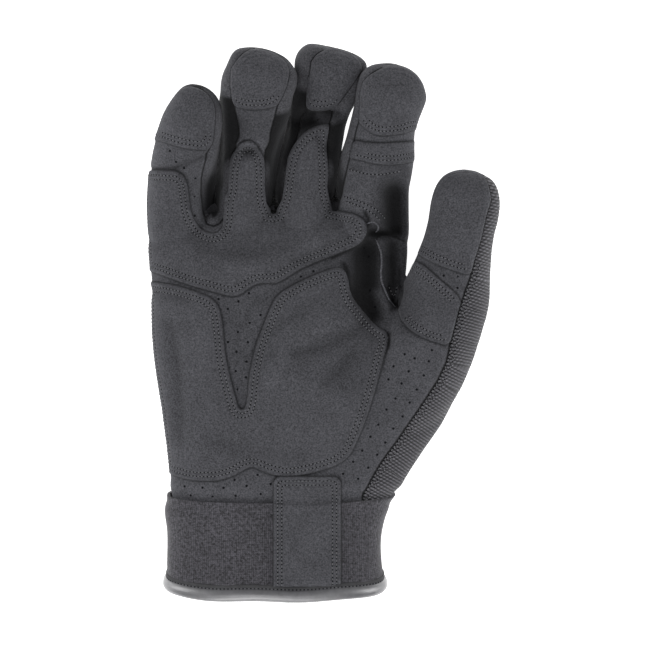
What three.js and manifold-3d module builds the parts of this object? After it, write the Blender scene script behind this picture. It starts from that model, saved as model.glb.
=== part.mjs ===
// A full-finger tactical glove for the right hand, lying on its back with the palm up.
// Lengths are in millimetres, +Z is up, +Y runs to the fingertips, +X to the thumb.
// Plan positions are read off a drawing sheet: u to the right, v down, one unit = UNIT mm.
import * as THREE from 'three';
import Module from 'manifold-3d';

const wasm = await Module();
wasm.setup();
const { Manifold, Mesh } = wasm;

const UNIT = 0.42;
const SHEET_U = 322;
const SHEET_V = 323.5;
const WALL = 1.8;
const GAP = 0.3;
const PATCH = 1.3;
const TAB = 1.9;
// Corner angles in degrees: closer together on the palm side than on the back.
const FINGER_ANGLES = [0, 30, 60, 90, 120, 150, 180, 222, 270, 318];
const FINGER_LINING_ANGLES = [0, 50, 90, 130, 180, 225, 270, 315];
const PALM_ANGLES = [
  0, 15, 30, 45, 60, 75, 90, 105, 120, 135, 150, 165, 180, 200, 222, 250, 290, 318, 340,
];
const PALM_LINING_ANGLES = [0, 25, 50, 75, 105, 130, 155, 180, 205, 230, 310, 335];
const SMOOTHING = 0.12;

const LOOK = {
  suede: { color: 0x2e2e30, roughness: 0.95, metalness: 0 },
  patch: { color: 0x323234, roughness: 0.95, metalness: 0 },
  ribbed: { color: 0x38373a, roughness: 0.9, metalness: 0 },
  side: { color: 0x262628, roughness: 0.95, metalness: 0 },
  knit: { color: 0x333136, roughness: 0.92, metalness: 0 },
  binding: { color: 0x161617, roughness: 0.35, metalness: 0 },
};

// Each finger: centre u, v, half width in sheet units, centre height and half thickness in mm.
const FINGERS = {
  little: [
    [180, 256, 24, 17, 9.5], [176.3, 230, 29.8, 18.3, 12.6], [176, 203, 29.5, 20, 12],
    [178, 177, 29.5, 23.3, 11.9], [184.5, 151, 31, 29, 12],
    [190, 131, 31.8, 33.5, 12], [195, 112, 29, 38, 11.5], [197, 99, 24, 40.5, 9.5],
    [198.6, 88.5, 12, 42.2, 5],
  ],
  ring: [
    [246, 260, 26, 17, 10], [244.5, 234, 29.5, 17.3, 13.6], [244, 196, 27, 19, 12.5],
    [247.2, 171, 26.5, 20.5, 12], [249.5, 147, 27.5, 23, 12],
    [252, 131, 29.5, 25.5, 12.5], [255.5, 113, 33, 28.5, 13], [258, 95, 36, 31.5, 13.5],
    [259.5, 78, 35.8, 34, 13], [260.3, 64, 32, 35.5, 11], [260.5, 53, 19, 36.7, 6.6],
  ],
  middle: [
    [304, 260, 26, 17, 10], [302.5, 234, 29.5, 17, 13.9], [304.5, 192, 29.3, 17.5, 13],
    [310, 165, 29.2, 18.5, 12.3], [316, 137, 27.5, 20, 11.5],
    [318, 121, 28, 21, 11.5], [321, 106, 30, 22, 12], [325, 90, 32.2, 23.5, 12.5],
    [329.5, 74, 34.6, 25, 12.5], [331.5, 61, 33.5, 26.3, 11.5], [332, 49, 22, 27.1, 7],
  ],
  index: [
    [366, 268, 29, 18, 11], [370, 240, 35.5, 18.5, 14.5], [371.8, 205, 35.5, 20, 14],
    [374.5, 182, 35, 21.7, 13.5], [378.2, 155, 36, 24.5, 13],
    [381.5, 134, 33.5, 27, 13], [385.8, 117, 32.8, 29.5, 12.5], [390, 98, 34.6, 32, 13],
    [391.5, 84, 32.6, 34, 12], [392, 74, 27, 35.3, 9.5], [392, 67, 15, 36.3, 5.6],
  ],
  thumb: [
    [372, 440, 30, 19, 11], [396, 402, 44, 22, 17.5], [417, 364, 48, 23.5, 19],
    [438, 322, 45, 25, 17.5], [447, 290, 43.5, 26.5, 16], [452, 264, 39, 28, 15],
    [457, 244, 34.5, 29.5, 14], [461, 225, 33.5, 31, 13.5], [464.5, 206, 33, 32.5, 13],
    [466, 190, 29.5, 33.5, 12], [467, 179, 22.5, 34.3, 9.5], [468, 171, 11, 34.9, 5],
  ],
};

// Palm rows: v, left u, right u, centre height, half thickness, slope of the row toward the wrist
// and the two edge angles of the stretch back in degrees (thumb side, little-finger side).
const PALM = [
  [209, 232, 372, 17, 8, 0, -8, 188], [221, 168, 396, 17.5, 11, 0, -8, 188],
  [240, 149, 406, 18, 15, 0, -8, 188], [265, 149.5, 406, 19, 18, 0, -8, 186],
  [290, 151, 403, 19.5, 20, 0, -6, 184], [320, 152, 406, 20, 21, 0, -2, 184],
  [355, 155, 430, 20, 21.5, 0.03, 10, 184], [388, 159, 450, 19.8, 21, 0.06, 27, 184],
  [415, 162.5, 443, 19.5, 20.3, 0.1, 33, 184], [440, 166, 428, 19, 19.5, 0.14, 36, 184],
  [465, 169.5, 411.5, 18.5, 18.8, 0.15, 39, 184], [485, 170.5, 399, 18.2, 18.4, 0.17, 42, 184],
  [494.6, 170.5, 394.6, 18, 18.2, 0.17, 43, 184],
];
const CUFF = [
  [495.6, 166.8, 394.4, 18.3, 18.7, 0.17], [507, 165.8, 388, 18.3, 18.6, 0.2],
  [535, 168, 380.5, 18, 18.2, 0.28], [568, 166, 384, 18.2, 18.5, 0.36],
];
// The thumb's stretch side: from, to angle along the sections of its table.
const THUMB_BACK = [
  [58, -128], [56, -128], [54, -128], [50, -128], [47, -128], [44, -128], [41, -128],
  [38, -128], [35, -128], [32, -128], [30, -128], [30, -128],
];

const sheet = (u, v) => [(u - SHEET_U) * UNIT, (SHEET_V - v) * UNIT];
const rad = (deg) => (deg * Math.PI) / 180;

// A superellipse point for an angle, so that corners stay soft but fuller than an ellipse.
function superPoint(angle, a, b, power) {
  const c = Math.cos(angle);
  const s = Math.sin(angle);
  const k = Math.pow(Math.pow(Math.abs(c), power) + Math.pow(Math.abs(s), power), -1 / power);
  return [a * c * k, b * s * k];
}

// Frames along a finger: centre, side direction, up direction, half width, half thickness.
function fingerFrames(table, grow) {
  const centres = table.map(([u, v, , z]) => {
    const [x, y] = sheet(u, v);
    return new THREE.Vector3(x, y, z);
  });
  const last = centres.length - 1;
  return table.map((row, i) => {
    const ahead = centres[Math.min(last, i + 1)];
    const behind = centres[Math.max(0, i - 1)];
    const along = ahead.clone().sub(behind).normalize();
    const side = new THREE.Vector3().crossVectors(along, new THREE.Vector3(0, 0, 1)).normalize();
    const up = new THREE.Vector3().crossVectors(side, along).normalize();
    const nearTip = Math.max(0, 1 - (last - i) / 4);
    const centre = centres[i].clone().addScaledVector(along, grow * nearTip);
    const a = Math.max(0.5, row[2] * UNIT + grow);
    const b = Math.max(0.4, row[4] + grow);
    return { centre, side, up, a, b };
  });
}

function framePoint(frame, p, q) {
  return frame.centre.clone().addScaledVector(frame.side, p).addScaledVector(frame.up, q);
}

function rowPoint(row, p, q) {
  const [xl, y] = sheet(row[1], row[0]);
  const [xr] = sheet(row[2], row[0]);
  return new THREE.Vector3((xl + xr) / 2 + p, y - row[5] * q, row[3] + q);
}

function halfWidth(row) {
  return ((row[2] - row[1]) * UNIT) / 2;
}

// Joins rings of equal length into one closed solid with fan caps.
function loft(rings, closedRing = true) {
  const n = rings[0].length;
  const points = rings.flat();
  const faces = [];
  for (let i = 0; i + 1 < rings.length; i += 1) {
    for (let j = 0; j < n; j += 1) {
      const k = (j + 1) % n;
      faces.push([i * n + j, i * n + k, (i + 1) * n + k], [i * n + j, (i + 1) * n + k, (i + 1) * n + j]);
    }
  }
  for (const [ring, flip] of [[0, true], [rings.length - 1, false]]) {
    const start = ring * n;
    if (closedRing) {
      const mid = rings[ring].reduce((m, p) => m.add(p), new THREE.Vector3()).divideScalar(n);
      points.push(mid);
      const centre = points.length - 1;
      for (let j = 0; j < n; j += 1) {
        const k = (j + 1) % n;
        faces.push(flip ? [centre, start + k, start + j] : [centre, start + j, start + k]);
      }
    } else {
      for (let j = 1; j + 1 < n; j += 1) {
        faces.push(flip ? [start, start + j + 1, start + j] : [start, start + j, start + j + 1]);
      }
    }
  }
  return solid(points, faces);
}

function solid(points, faces) {
  const vertProperties = new Float32Array(points.flatMap((p) => [p.x, p.y, p.z]));
  const triVerts = new Uint32Array(faces.flat());
  let made = new Manifold(new Mesh({ numProp: 3, vertProperties, triVerts }));
  if (made.volume() < 0) {
    const turned = new Uint32Array(faces.flatMap(([a, b, c]) => [a, c, b]));
    made = new Manifold(new Mesh({ numProp: 3, vertProperties, triVerts: turned }));
  }
  return made;
}

// The hollow inside needs fewer rows than the outer face.
const everySecond = (item, i, list) => i % 2 === 0 || i >= list.length - 2;

function fingerSolid(name, grow) {
  const angles = grow < 0 ? FINGER_LINING_ANGLES : FINGER_ANGLES;
  const frames = fingerFrames(FINGERS[name], grow);
  const rings = (grow < 0 ? frames.filter(everySecond) : frames).map((frame) => (
    angles.map((angle) => framePoint(frame, ...superPoint(rad(angle), frame.a, frame.b, 2.15)))
  ));
  return loft(rings);
}

function rowsSolid(rows, grow, startShift = 0, endShift = 0, power = 2.6) {
  const angles = grow < 0 ? PALM_LINING_ANGLES : PALM_ANGLES;
  const used = grow < 0 ? rows.filter(everySecond) : rows;
  return loft(used.map((row, i) => {
    let shift = 0;
    if (i === 0) shift = startShift;
    if (i === used.length - 1) shift = endShift;
    return angles.map((angle) => {
      const [p, q] = superPoint(rad(angle), halfWidth(row) + grow, row[4] + grow, power);
      const point = rowPoint(row, p, q);
      point.y += shift;
      return point;
    });
  }));
}

// A wedge that follows a finger between two angles, a little past its surface.
function fingerWedge(name, from, to, { first = 0, last = 99, widen = 0, reach = 1.2 } = {}) {
  const table = FINGERS[name];
  const frames = fingerFrames(table, 0);
  const rings = [];
  const steps = 6;
  const end = Math.min(last, table.length - 1);
  for (let i = first; i <= end; i += 1) {
    if ((i - first) % 2 === 1 && i !== end) continue;
    const frame = frames[i];
    const a0 = rad(typeof from === 'number' ? from : from[i]) - widen / frame.a;
    const a1 = rad(typeof to === 'number' ? to : to[i]) + widen / frame.a;
    const centre = frame.centre.clone();
    const ring = [centre];
    for (let j = 0; j <= steps; j += 1) {
      const [p, q] = superPoint(a0 + ((a1 - a0) * j) / steps, frame.a + reach, frame.b + reach, 2.15);
      ring.push(framePoint(frame, p, q));
    }
    rings.push(ring);
  }
  const along = frames[end].centre.clone().sub(frames[first].centre).normalize();
  rings[0].forEach((p) => p.addScaledVector(along, -widen));
  rings[rings.length - 1].forEach((p) => p.addScaledVector(along, widen + 1.5));
  return loft(rings, false);
}

function palmWedge(widen = 0) {
  const rings = [];
  const steps = 14;
  for (const row of PALM.slice(1)) {
    const reach = widen > 0 ? 4 : 2;
    const a = halfWidth(row) + reach;
    const b = Math.max(row[4] + reach, 18);
    const a0 = rad(row[7]) - widen / 20;
    const a1 = rad(row[6] + 360) + widen / 20;
    const ring = [rowPoint(row, 0, 0)];
    for (let j = 0; j <= steps; j += 1) {
      const [p, q] = superPoint(a0 + ((a1 - a0) * j) / steps, a, b, 2.6);
      ring.push(rowPoint(row, p, q));
    }
    rings.push(ring);
  }
  rings[rings.length - 1].forEach((p) => { p.y -= 3; });
  return loft(rings, false);
}

// A straight-walled cutter over a closed outline given in sheet units.
function prism(outline, low, high) {
  const flat = outline.map(([u, v]) => new THREE.Vector2(...sheet(u, v)));
  if (THREE.ShapeUtils.area(flat) < 0) flat.reverse();
  const n = flat.length;
  const points = [];
  for (const z of [low, high]) for (const p of flat) points.push(new THREE.Vector3(p.x, p.y, z));
  const faces = [];
  for (let i = 0; i < n; i += 1) {
    const k = (i + 1) % n;
    faces.push([i, k, n + k], [i, n + k, n + i]);
  }
  for (const [a, b, c] of THREE.ShapeUtils.triangulateShape(flat, [])) {
    faces.push([a, c, b], [n + a, n + b, n + c]);
  }
  return solid(points, faces);
}

function box(x0, x1, y0, y1, z0, z1) {
  const points = [];
  for (const z of [z0, z1]) {
    points.push(new THREE.Vector3(x0, y0, z), new THREE.Vector3(x1, y0, z));
    points.push(new THREE.Vector3(x1, y1, z), new THREE.Vector3(x0, y1, z));
  }
  return solid(points, [
    [0, 2, 1], [0, 3, 2], [4, 5, 6], [4, 6, 7], [0, 1, 5], [0, 5, 4],
    [1, 2, 6], [1, 6, 5], [2, 3, 7], [2, 7, 6], [3, 0, 4], [3, 4, 7],
  ]);
}

function unionOf(list) {
  return list.reduce((sum, next) => sum.add(next));
}

function largest(shape) {
  const bodies = shape.decompose();
  bodies.sort((a, b) => b.volume() - a.volume());
  return bodies[0];
}

const NAMES = Object.keys(FINGERS);
const BELOW = box(-200, 200, -200, 200, -60, 0);

// The whole hand form, grown or shrunk from the fabric's outer face.
function handForm(grow) {
  const fingers = NAMES.map((name) => fingerSolid(name, grow));
  return unionOf([rowsSolid(PALM, grow, grow, grow < 0 ? -4 : 0), ...fingers]);
}

function cuffForm(grow, past = 0) {
  return rowsSolid(CUFF, grow, past, -past);
}

// Outlines of the suede overlays, in sheet units.
const OUTLINES = {
  upper_palm_patch: [
    [138, 270], [172, 282], [205, 294], [235, 299], [248, 292], [262, 286], [282, 282], [303, 272],
    [334, 257], [357, 245], [366, 234], [366, 222], [356, 213], [336, 210], [331, 196], [327, 165],
    [332, 140], [331, 125], [318, 125], [303, 134], [291, 152], [286, 175], [281, 200], [272, 216],
    [266, 204], [263, 180], [261, 150], [255, 141], [243, 141], [234, 155], [230, 185], [224, 200],
    [219, 226], [213, 232], [205, 226], [192, 212], [188, 190], [180, 174], [160, 170], [138, 168],
  ],
  lower_palm_patch: [
    [156, 290], [178, 292], [205, 300], [221, 313], [225, 335], [228, 365], [236, 395], [242, 407],
    [248, 398], [251, 370], [258, 338], [271, 306], [288, 289], [320, 275], [342, 268], [350, 278],
    [352, 300], [370, 322], [390, 334], [389, 352], [376, 398], [362, 436], [347, 458], [322, 469],
    [290, 476], [270, 472], [253, 466], [240, 472], [220, 479], [192, 479], [176, 474],
  ],
  little_tip_patch: [
    [163, 118], [172, 101], [184, 91], [196, 89], [210, 98], [217, 112], [217, 128], [214, 143],
    [208, 151], [190, 150], [173, 145], [161, 141],
  ],
  ring_tip_patch: [
    [229, 80], [231, 68], [244, 56], [254, 53], [272, 54], [287, 66], [291, 76], [287, 92],
    [280, 105], [262, 111], [241, 110], [232, 103], [229, 92],
  ],
  middle_tip_patch: [
    [309, 74], [312, 61], [323, 51], [338, 50], [352, 55], [362, 66], [361, 76], [353, 88],
    [340, 106], [322, 111], [308, 107],
  ],
  index_tip_patch: [
    [364, 92], [369, 79], [380, 70], [396, 69], [410, 74], [420, 85], [421, 98], [416, 114],
    [413, 128], [399, 135], [377, 136], [364, 128], [357, 119], [359, 104],
  ],
  index_middle_patch: [
    [354, 140], [370, 143], [392, 143], [412, 139], [412, 159], [398, 163], [374, 163], [350, 158],
  ],
  thumb_tip_patch: [
    [440, 190], [451, 179], [466, 174], [480, 179], [487, 192], [485, 214], [480, 238], [472, 262],
    [466, 268], [447, 259], [428, 247], [430, 228], [433, 208],
  ],
  thumb_middle_patch: [
    [410, 270], [424, 262], [444, 279], [462, 299], [457, 318], [448, 338], [424, 331], [404, 324],
    [402, 300], [405, 284],
  ],
  thumb_saddle_patch: [
    [374, 242], [386, 240], [398, 252], [400, 270], [398, 287], [391, 290], [384, 282], [381, 266],
  ],
};
const PATCH_OWNER = {
  little_tip_patch: 'little', ring_tip_patch: 'ring', middle_tip_patch: 'middle',
  index_tip_patch: 'index', index_middle_patch: 'index', thumb_tip_patch: 'thumb',
  thumb_middle_patch: 'thumb',
};
const PATCH_LOW = {
  upper_palm_patch: 23, lower_palm_patch: 24, little_tip_patch: 36, ring_tip_patch: 31,
  middle_tip_patch: 23, index_tip_patch: 31, index_middle_patch: 26, thumb_tip_patch: 30,
  thumb_middle_patch: 28, thumb_saddle_patch: 19,
};

const outer = handForm(0).subtract(BELOW);
const lift = box(-200, 200, -200, 200, -60, WALL);
const inner = handForm(-WALL).subtract(lift).simplify(0.5);
const shell = outer.subtract(inner);

// Side strips between the fingers: finger, from angle, to angle.
const STRIPS = {
  little_side_strip: ['little', -46, 30],
  ring_outer_side_strip: ['ring', 150, 226],
  ring_inner_side_strip: ['ring', -46, 30],
  middle_outer_side_strip: ['middle', 150, 226],
  middle_inner_side_strip: ['middle', -46, 30],
  index_side_strip: ['index', 150, 226],
};

function stripCutter([name, from, to], widen) {
  const last = FINGERS[name].length - 3;
  return fingerWedge(name, from, to, { first: 2, last, widen, reach: widen > 0 ? 1.5 : 0.5 });
}

const strips = {};
const wide = [];
for (const [name, parts] of Object.entries(STRIPS)) {
  strips[name] = shell.intersect(stripCutter(parts, 0));
  wide.push(stripCutter(parts, GAP));
}
const stripSpace = unionOf(wide);

function backCutter(widen) {
  const parts = [palmWedge(widen)];
  for (const name of ['little', 'ring', 'middle', 'index']) {
    parts.push(fingerWedge(name, 190, 350, { first: 1, widen, reach: widen > 0 ? 1.4 : 0.5 }));
  }
  const to = THUMB_BACK.map((row) => row[0]);
  const from = THUMB_BACK.map((row) => row[1]);
  parts.push(fingerWedge('thumb', from, to, { widen, reach: widen > 0 ? 1.6 : 0.5 }));
  return unionOf(parts);
}

const backPanel = largest(shell.intersect(backCutter(0)).subtract(stripSpace));
const palmPanel = largest(shell.subtract(backCutter(GAP + 0.2)).subtract(stripSpace).subtract(backPanel));

const cuffTube = cuffForm(0).subtract(BELOW)
  .subtract(cuffForm(-2.2, 6).subtract(box(-200, 200, -200, 200, -60, 2.2)));

// The rolled binding runs round the open end of the cuff.
function bindingRing() {
  const row = CUFF[CUFF.length - 1];
  const around = 32;
  const section = 6;
  const points = [];
  const faces = [];
  for (let i = 0; i < around; i += 1) {
    const angle = (i / around) * Math.PI * 2;
    for (let j = 0; j < section; j += 1) {
      const turn = (j / section) * Math.PI * 2;
      const out = 2.4 * Math.cos(turn) - 0.9;
      const down = 3.6 * Math.sin(turn);
      const [p, q] = superPoint(angle, halfWidth(row) + out, row[4] + out, 2.6);
      const point = rowPoint(row, p, q);
      point.y += -4 + down;
      points.push(point);
    }
  }
  for (let i = 0; i < around; i += 1) {
    const k = (i + 1) % around;
    for (let j = 0; j < section; j += 1) {
      const m = (j + 1) % section;
      faces.push([i * section + j, i * section + m, k * section + m]);
      faces.push([i * section + j, k * section + m, k * section + j]);
    }
  }
  return solid(points, faces);
}

const binding = bindingRing().subtract(BELOW);

const others = (owner) => unionOf(NAMES.filter((name) => name !== owner && name !== 'thumb')
  .map((name) => fingerSolid(name, GAP)));

function patchShape(name) {
  const owner = PATCH_OWNER[name];
  const grown = owner ? fingerSolid(owner, PATCH) : handForm(PATCH);
  const base = handForm(GAP);
  let shape = grown.subtract(base).intersect(prism(OUTLINES[name], PATCH_LOW[name], 90));
  if (owner && owner !== 'thumb') shape = shape.subtract(others(owner));
  return largest(shape);
}

const patches = {};
for (const name of Object.keys(OUTLINES)) patches[name] = patchShape(name);

const TAB_OUTLINE = [
  [274, 583], [274, 490], [277, 482], [284, 478], [330, 478], [337, 481], [340, 488], [340, 583],
];
const tabOuter = unionOf([handForm(TAB), cuffForm(TAB, 0.6)]);
const tabInner = unionOf([handForm(GAP), cuffForm(GAP, 1.2)]);
const tab = largest(tabOuter.subtract(tabInner).intersect(prism(TAB_OUTLINE, 22, 90)));

function meshOf(name, rough, look) {
  const data = largest(rough.simplify(SMOOTHING)).getMesh();
  const geometry = new THREE.BufferGeometry();
  const position = new Float32Array(data.numVert * 3);
  for (let i = 0; i < data.numVert; i += 1) {
    for (let k = 0; k < 3; k += 1) position[i * 3 + k] = data.vertProperties[i * data.numProp + k];
  }
  geometry.setAttribute('position', new THREE.BufferAttribute(position, 3));
  geometry.setIndex(new THREE.BufferAttribute(new Uint32Array(data.triVerts), 1));
  geometry.computeVertexNormals();
  const mesh = new THREE.Mesh(geometry, new THREE.MeshStandardMaterial(look));
  mesh.name = name;
  return mesh;
}

const glove = new THREE.Group();
glove.name = 'tactical_glove';
glove.add(meshOf('palm_panel', palmPanel, LOOK.suede));
glove.add(meshOf('back_panel', backPanel, LOOK.ribbed));
for (const [name, shape] of Object.entries(strips)) glove.add(meshOf(name, largest(shape), LOOK.side));
for (const [name, shape] of Object.entries(patches)) glove.add(meshOf(name, shape, LOOK.patch));
glove.add(meshOf('cuff', largest(cuffTube.subtract(bindingGrown())), LOOK.knit));
glove.add(meshOf('cuff_tab', tab, LOOK.suede));
glove.add(meshOf('cuff_binding', binding, LOOK.binding));

function bindingGrown() {
  const row = CUFF[CUFF.length - 1];
  return rowsSolid([[row[0] + 0.2 / UNIT, row[1] - 9, row[2] + 9, row[3], row[4] + 4, row[5]],
    [row[0] + 12 / UNIT, row[1] - 9, row[2] + 9, row[3], row[4] + 4, row[5]]], 0);
}

// The origin is the middle of the box round the glove, on the surface that it lies on.
const bounds = new THREE.Box3().setFromObject(glove);
const middle = bounds.getCenter(new THREE.Vector3());
for (const mesh of glove.children) mesh.geometry.translate(-middle.x, -middle.y, -bounds.min.z);

export default glove;
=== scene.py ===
"""Tactical glove for the right hand, lying on its back with the palm up."""

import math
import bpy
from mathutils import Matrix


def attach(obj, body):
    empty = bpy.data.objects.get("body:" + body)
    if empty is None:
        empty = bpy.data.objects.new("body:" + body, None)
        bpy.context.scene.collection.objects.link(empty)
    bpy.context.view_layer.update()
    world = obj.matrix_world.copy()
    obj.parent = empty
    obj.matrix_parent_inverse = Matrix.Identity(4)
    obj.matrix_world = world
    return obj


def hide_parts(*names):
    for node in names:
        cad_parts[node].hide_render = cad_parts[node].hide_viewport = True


bl_info = {
    "name": "Tactical Glove",
    "version": (1, 0, 0),
    "blender": (4, 5, 0),
    "location": "View3D > Sidebar > Glove",
    "description": "Builds a suede and stretch-fabric glove over its fixed model",
    "category": "Add Mesh",
}

import bmesh
import bpy
import numpy as np
from mathutils import Matrix, Vector
from mathutils.bvhtree import BVHTree

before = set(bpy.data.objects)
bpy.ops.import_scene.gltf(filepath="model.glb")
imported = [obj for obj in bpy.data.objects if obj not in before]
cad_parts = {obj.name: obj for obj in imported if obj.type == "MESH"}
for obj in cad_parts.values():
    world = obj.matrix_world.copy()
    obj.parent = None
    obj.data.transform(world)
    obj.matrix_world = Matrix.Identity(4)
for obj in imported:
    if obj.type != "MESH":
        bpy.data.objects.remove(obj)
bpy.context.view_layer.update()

# Plan places are read off a drawing sheet: u to the right, v down, one unit = UNIT metres.
UNIT = 0.00042
SHEET_U = 321.134
SHEET_V = 323.726
MM = 0.001

FINGER_POWER = 2.15
PALM_POWER = 2.6

# Sections of each finger from its root to its tip:
# centre u, v, half width in sheet units, centre height and half thickness in millimetres.
FINGERS = {
    "little": [
        (181, 262, 25.5, 16.6, 9.0), (178, 230, 29, 18.0, 12.4), (176.8, 203, 29.2, 20.0, 12.0),
        (178.2, 180, 29, 23.0, 11.9), (181.6, 164, 30.6, 26.3, 12.0),
        (186.2, 148, 31.6, 30.0, 12.2), (190.6, 132, 31.0, 33.3, 12.0), (195, 117, 29, 36.3, 11.5),
        (197.3, 109, 26.2, 38.0, 10.8), (199, 102, 23, 39.8, 9.4), (199.4, 95.5, 18, 41.3, 7.2),
        (199.4, 91, 12, 42.2, 4.6), (199.2, 89.2, 7, 42.5, 2.6),
    ],
    "ring": [
        (246, 260, 26, 17.0, 10.0), (244.5, 234, 29.5, 17.3, 13.4), (245.4, 203, 27, 18.8, 12.5),
        (247, 178, 25.8, 20.2, 12.2), (249.5, 150, 26.4, 23.0, 12.0), (252, 131, 29, 25.5, 12.5),
        (255.5, 113, 33, 28.3, 13.0), (256.6, 100, 35.4, 30.6, 13.4), (257.6, 88, 36.8, 32.3, 13.3),
        (260.2, 80, 37.2, 33.6, 12.9), (262.4, 71.5, 35.6, 34.8, 12.0), (262.4, 64, 32.4, 35.8, 10.4),
        (261.6, 57, 27, 36.5, 7.8), (260.8, 53.4, 20.2, 36.9, 5.2), (260.2, 51.3, 12.4, 37.1, 3.2),
        (259.2, 50.4, 6, 37.2, 2.0),
    ],
    "middle": [
        (304, 260, 26, 17.0, 10.0), (302.5, 234, 29.5, 17.0, 13.6), (304.5, 192, 29.3, 17.5, 13.0),
        (310, 165, 29.2, 18.5, 12.3), (316, 137, 27.8, 20.0, 11.5), (318, 121, 28.4, 21.0, 11.5),
        (320.8, 106, 30.2, 22.0, 12.0), (325.6, 90, 33.6, 23.5, 12.5), (329.3, 75, 36, 25.0, 12.4),
        (331.2, 66, 37.2, 25.9, 11.8), (333, 58.5, 35.2, 26.5, 10.2), (334, 52.8, 30.8, 27.0, 7.8),
        (332.2, 49.4, 24.6, 27.2, 5.4), (328, 47.4, 16, 27.3, 3.6), (323.6, 46.4, 8.6, 27.4, 2.2),
    ],
    "index": [
        (366, 268, 29, 18.0, 11.0), (371.4, 240, 36.1, 18.5, 14.5), (373, 205, 36.4, 20.0, 14.0),
        (373.8, 186, 35.8, 21.4, 13.6), (376, 170, 36.2, 22.9, 13.3), (378.2, 155, 36, 24.5, 13.0),
        (380.3, 140, 34, 26.3, 12.9), (383.7, 122, 32.6, 28.8, 12.6), (387, 108, 33.3, 30.6, 12.8),
        (389.4, 99, 34.6, 31.7, 12.9), (391.4, 92, 35.2, 32.9, 12.6), (391.6, 84.5, 33.4, 34.3, 11.6),
        (392.2, 78, 30.4, 35.3, 9.8), (393, 72.5, 25, 36.0, 7.4), (394.4, 69, 18, 36.4, 5.0),
        (395.6, 67, 10.6, 36.6, 3.2), (396, 66.4, 5.6, 36.7, 2.0),
    ],
    "thumb": [
        (372, 440, 30, 19.0, 11.0), (397, 402, 45.5, 22.0, 17.5), (418, 364, 49, 23.5, 19.0),
        (437.8, 322, 45, 25.0, 17.5), (447.2, 290, 42.8, 26.5, 16.0), (453.4, 264, 37.4, 28.0, 15.0),
        (457.2, 246, 34.4, 29.3, 14.2), (460.9, 228, 33.3, 30.8, 13.8), (464.2, 211, 34.0, 32.0, 13.5),
        (466.2, 196, 32.8, 33.0, 12.6), (467, 187, 30, 33.8, 11.2), (467.6, 180, 25.6, 34.4, 9.2),
        (468, 175, 18.8, 34.8, 6.6), (468, 172, 11, 35.0, 4.0), (467.8, 170.8, 5.4, 35.1, 2.4),
    ],
}
FINGER_NAMES = list(FINGERS)
# How far the lower half of a finger reaches sideways beyond its section, in sheet units, by v:
# the fourchettes of neighbouring fingers meet there.
LOW_REACH = {
    ("little", 1): [(128, 0), (142, 2), (155, 5), (168, 9), (180, 12), (215, 10)],
    ("ring", -1): [(92, 0), (102, 4), (112, 8), (128, 11), (142, 11), (155, 10), (180, 9), (215, 8)],
    ("ring", 1): [(96, 0), (112, 2), (126, 5), (138, 7), (155, 7.5), (175, 6), (215, 4)],
    ("middle", -1): [(96, 0), (112, 2), (126, 5), (138, 7), (155, 7.5), (175, 6), (215, 4)],
    ("middle", 1): [(146, 0), (156, 2.5), (170, 4), (215, 4)],
    ("index", -1): [(146, 0), (156, 2.5), (170, 4), (215, 4)],
}
PALM_FORM = len(FINGER_NAMES)
# One unit of a place across a finger's section and of one up its section, in metres.
SECTION_SIDE = 0.013
SECTION_UP = 0.011
# A piece's field on the parts of the skin that aren't its own, in metres below its edge.
FAR_OUTSIDE = 0.004
# How much painted shade a metre of fold or of hollow puts on the suede, and the limits of that; a raised
# fold paints light instead.
FOLD_SHADE = 280.0
OVERLAY_HOLLOW_SHADE = 125.0
PANEL_HOLLOW_SHADE = 138.0
SHADE_LIMITS = (0.13, 1.25)
# The fingers stand this far apart, in millimetres, while their cloth is made.
SPREAD = {"little": -14, "ring": -5, "middle": 4, "index": 13, "thumb": 13}

# Rows of the palm: v, left u, right u, centre height, half thickness, slope toward the wrist.
PALM = [
    (209, 232, 372, 17, 8, 0), (221, 169, 397, 17.5, 11, 0), (240, 150, 407, 18, 15, 0),
    (265, 150, 406.5, 19, 18, 0), (290, 151.5, 404, 19.5, 20, 0), (320, 152.2, 408, 20, 21, 0),
    (355, 154.4, 433, 20, 21.5, 0.03), (388, 159.2, 456, 19.8, 21, 0.06),
    (415, 163.2, 446.5, 19.5, 20.3, 0.1), (440, 166.4, 430, 19, 19.5, 0.14),
    (465, 169.4, 413, 18.5, 18.8, 0.15), (482, 170, 401.5, 18.2, 18.2, 0.17),
    (493, 171, 393, 18.2, 17.2, 0.17), (503, 173, 388, 18.2, 16.4, 0.17),
]
CUFF = [
    (494.6, 166, 396, 18.3, 18.7, 0.17), (503, 164.4, 391.5, 18.3, 18.9, 0.18),
    (515, 164.6, 386, 18.2, 18.5, 0.20), (530, 166, 382.4, 18.0, 18.2, 0.22),
    (548, 166.6, 381, 18.0, 18.1, 0.24), (562, 166.6, 382, 18.1, 18.3, 0.26),
    (573, 166.4, 383.6, 18.3, 18.5, 0.27),
]

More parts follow.
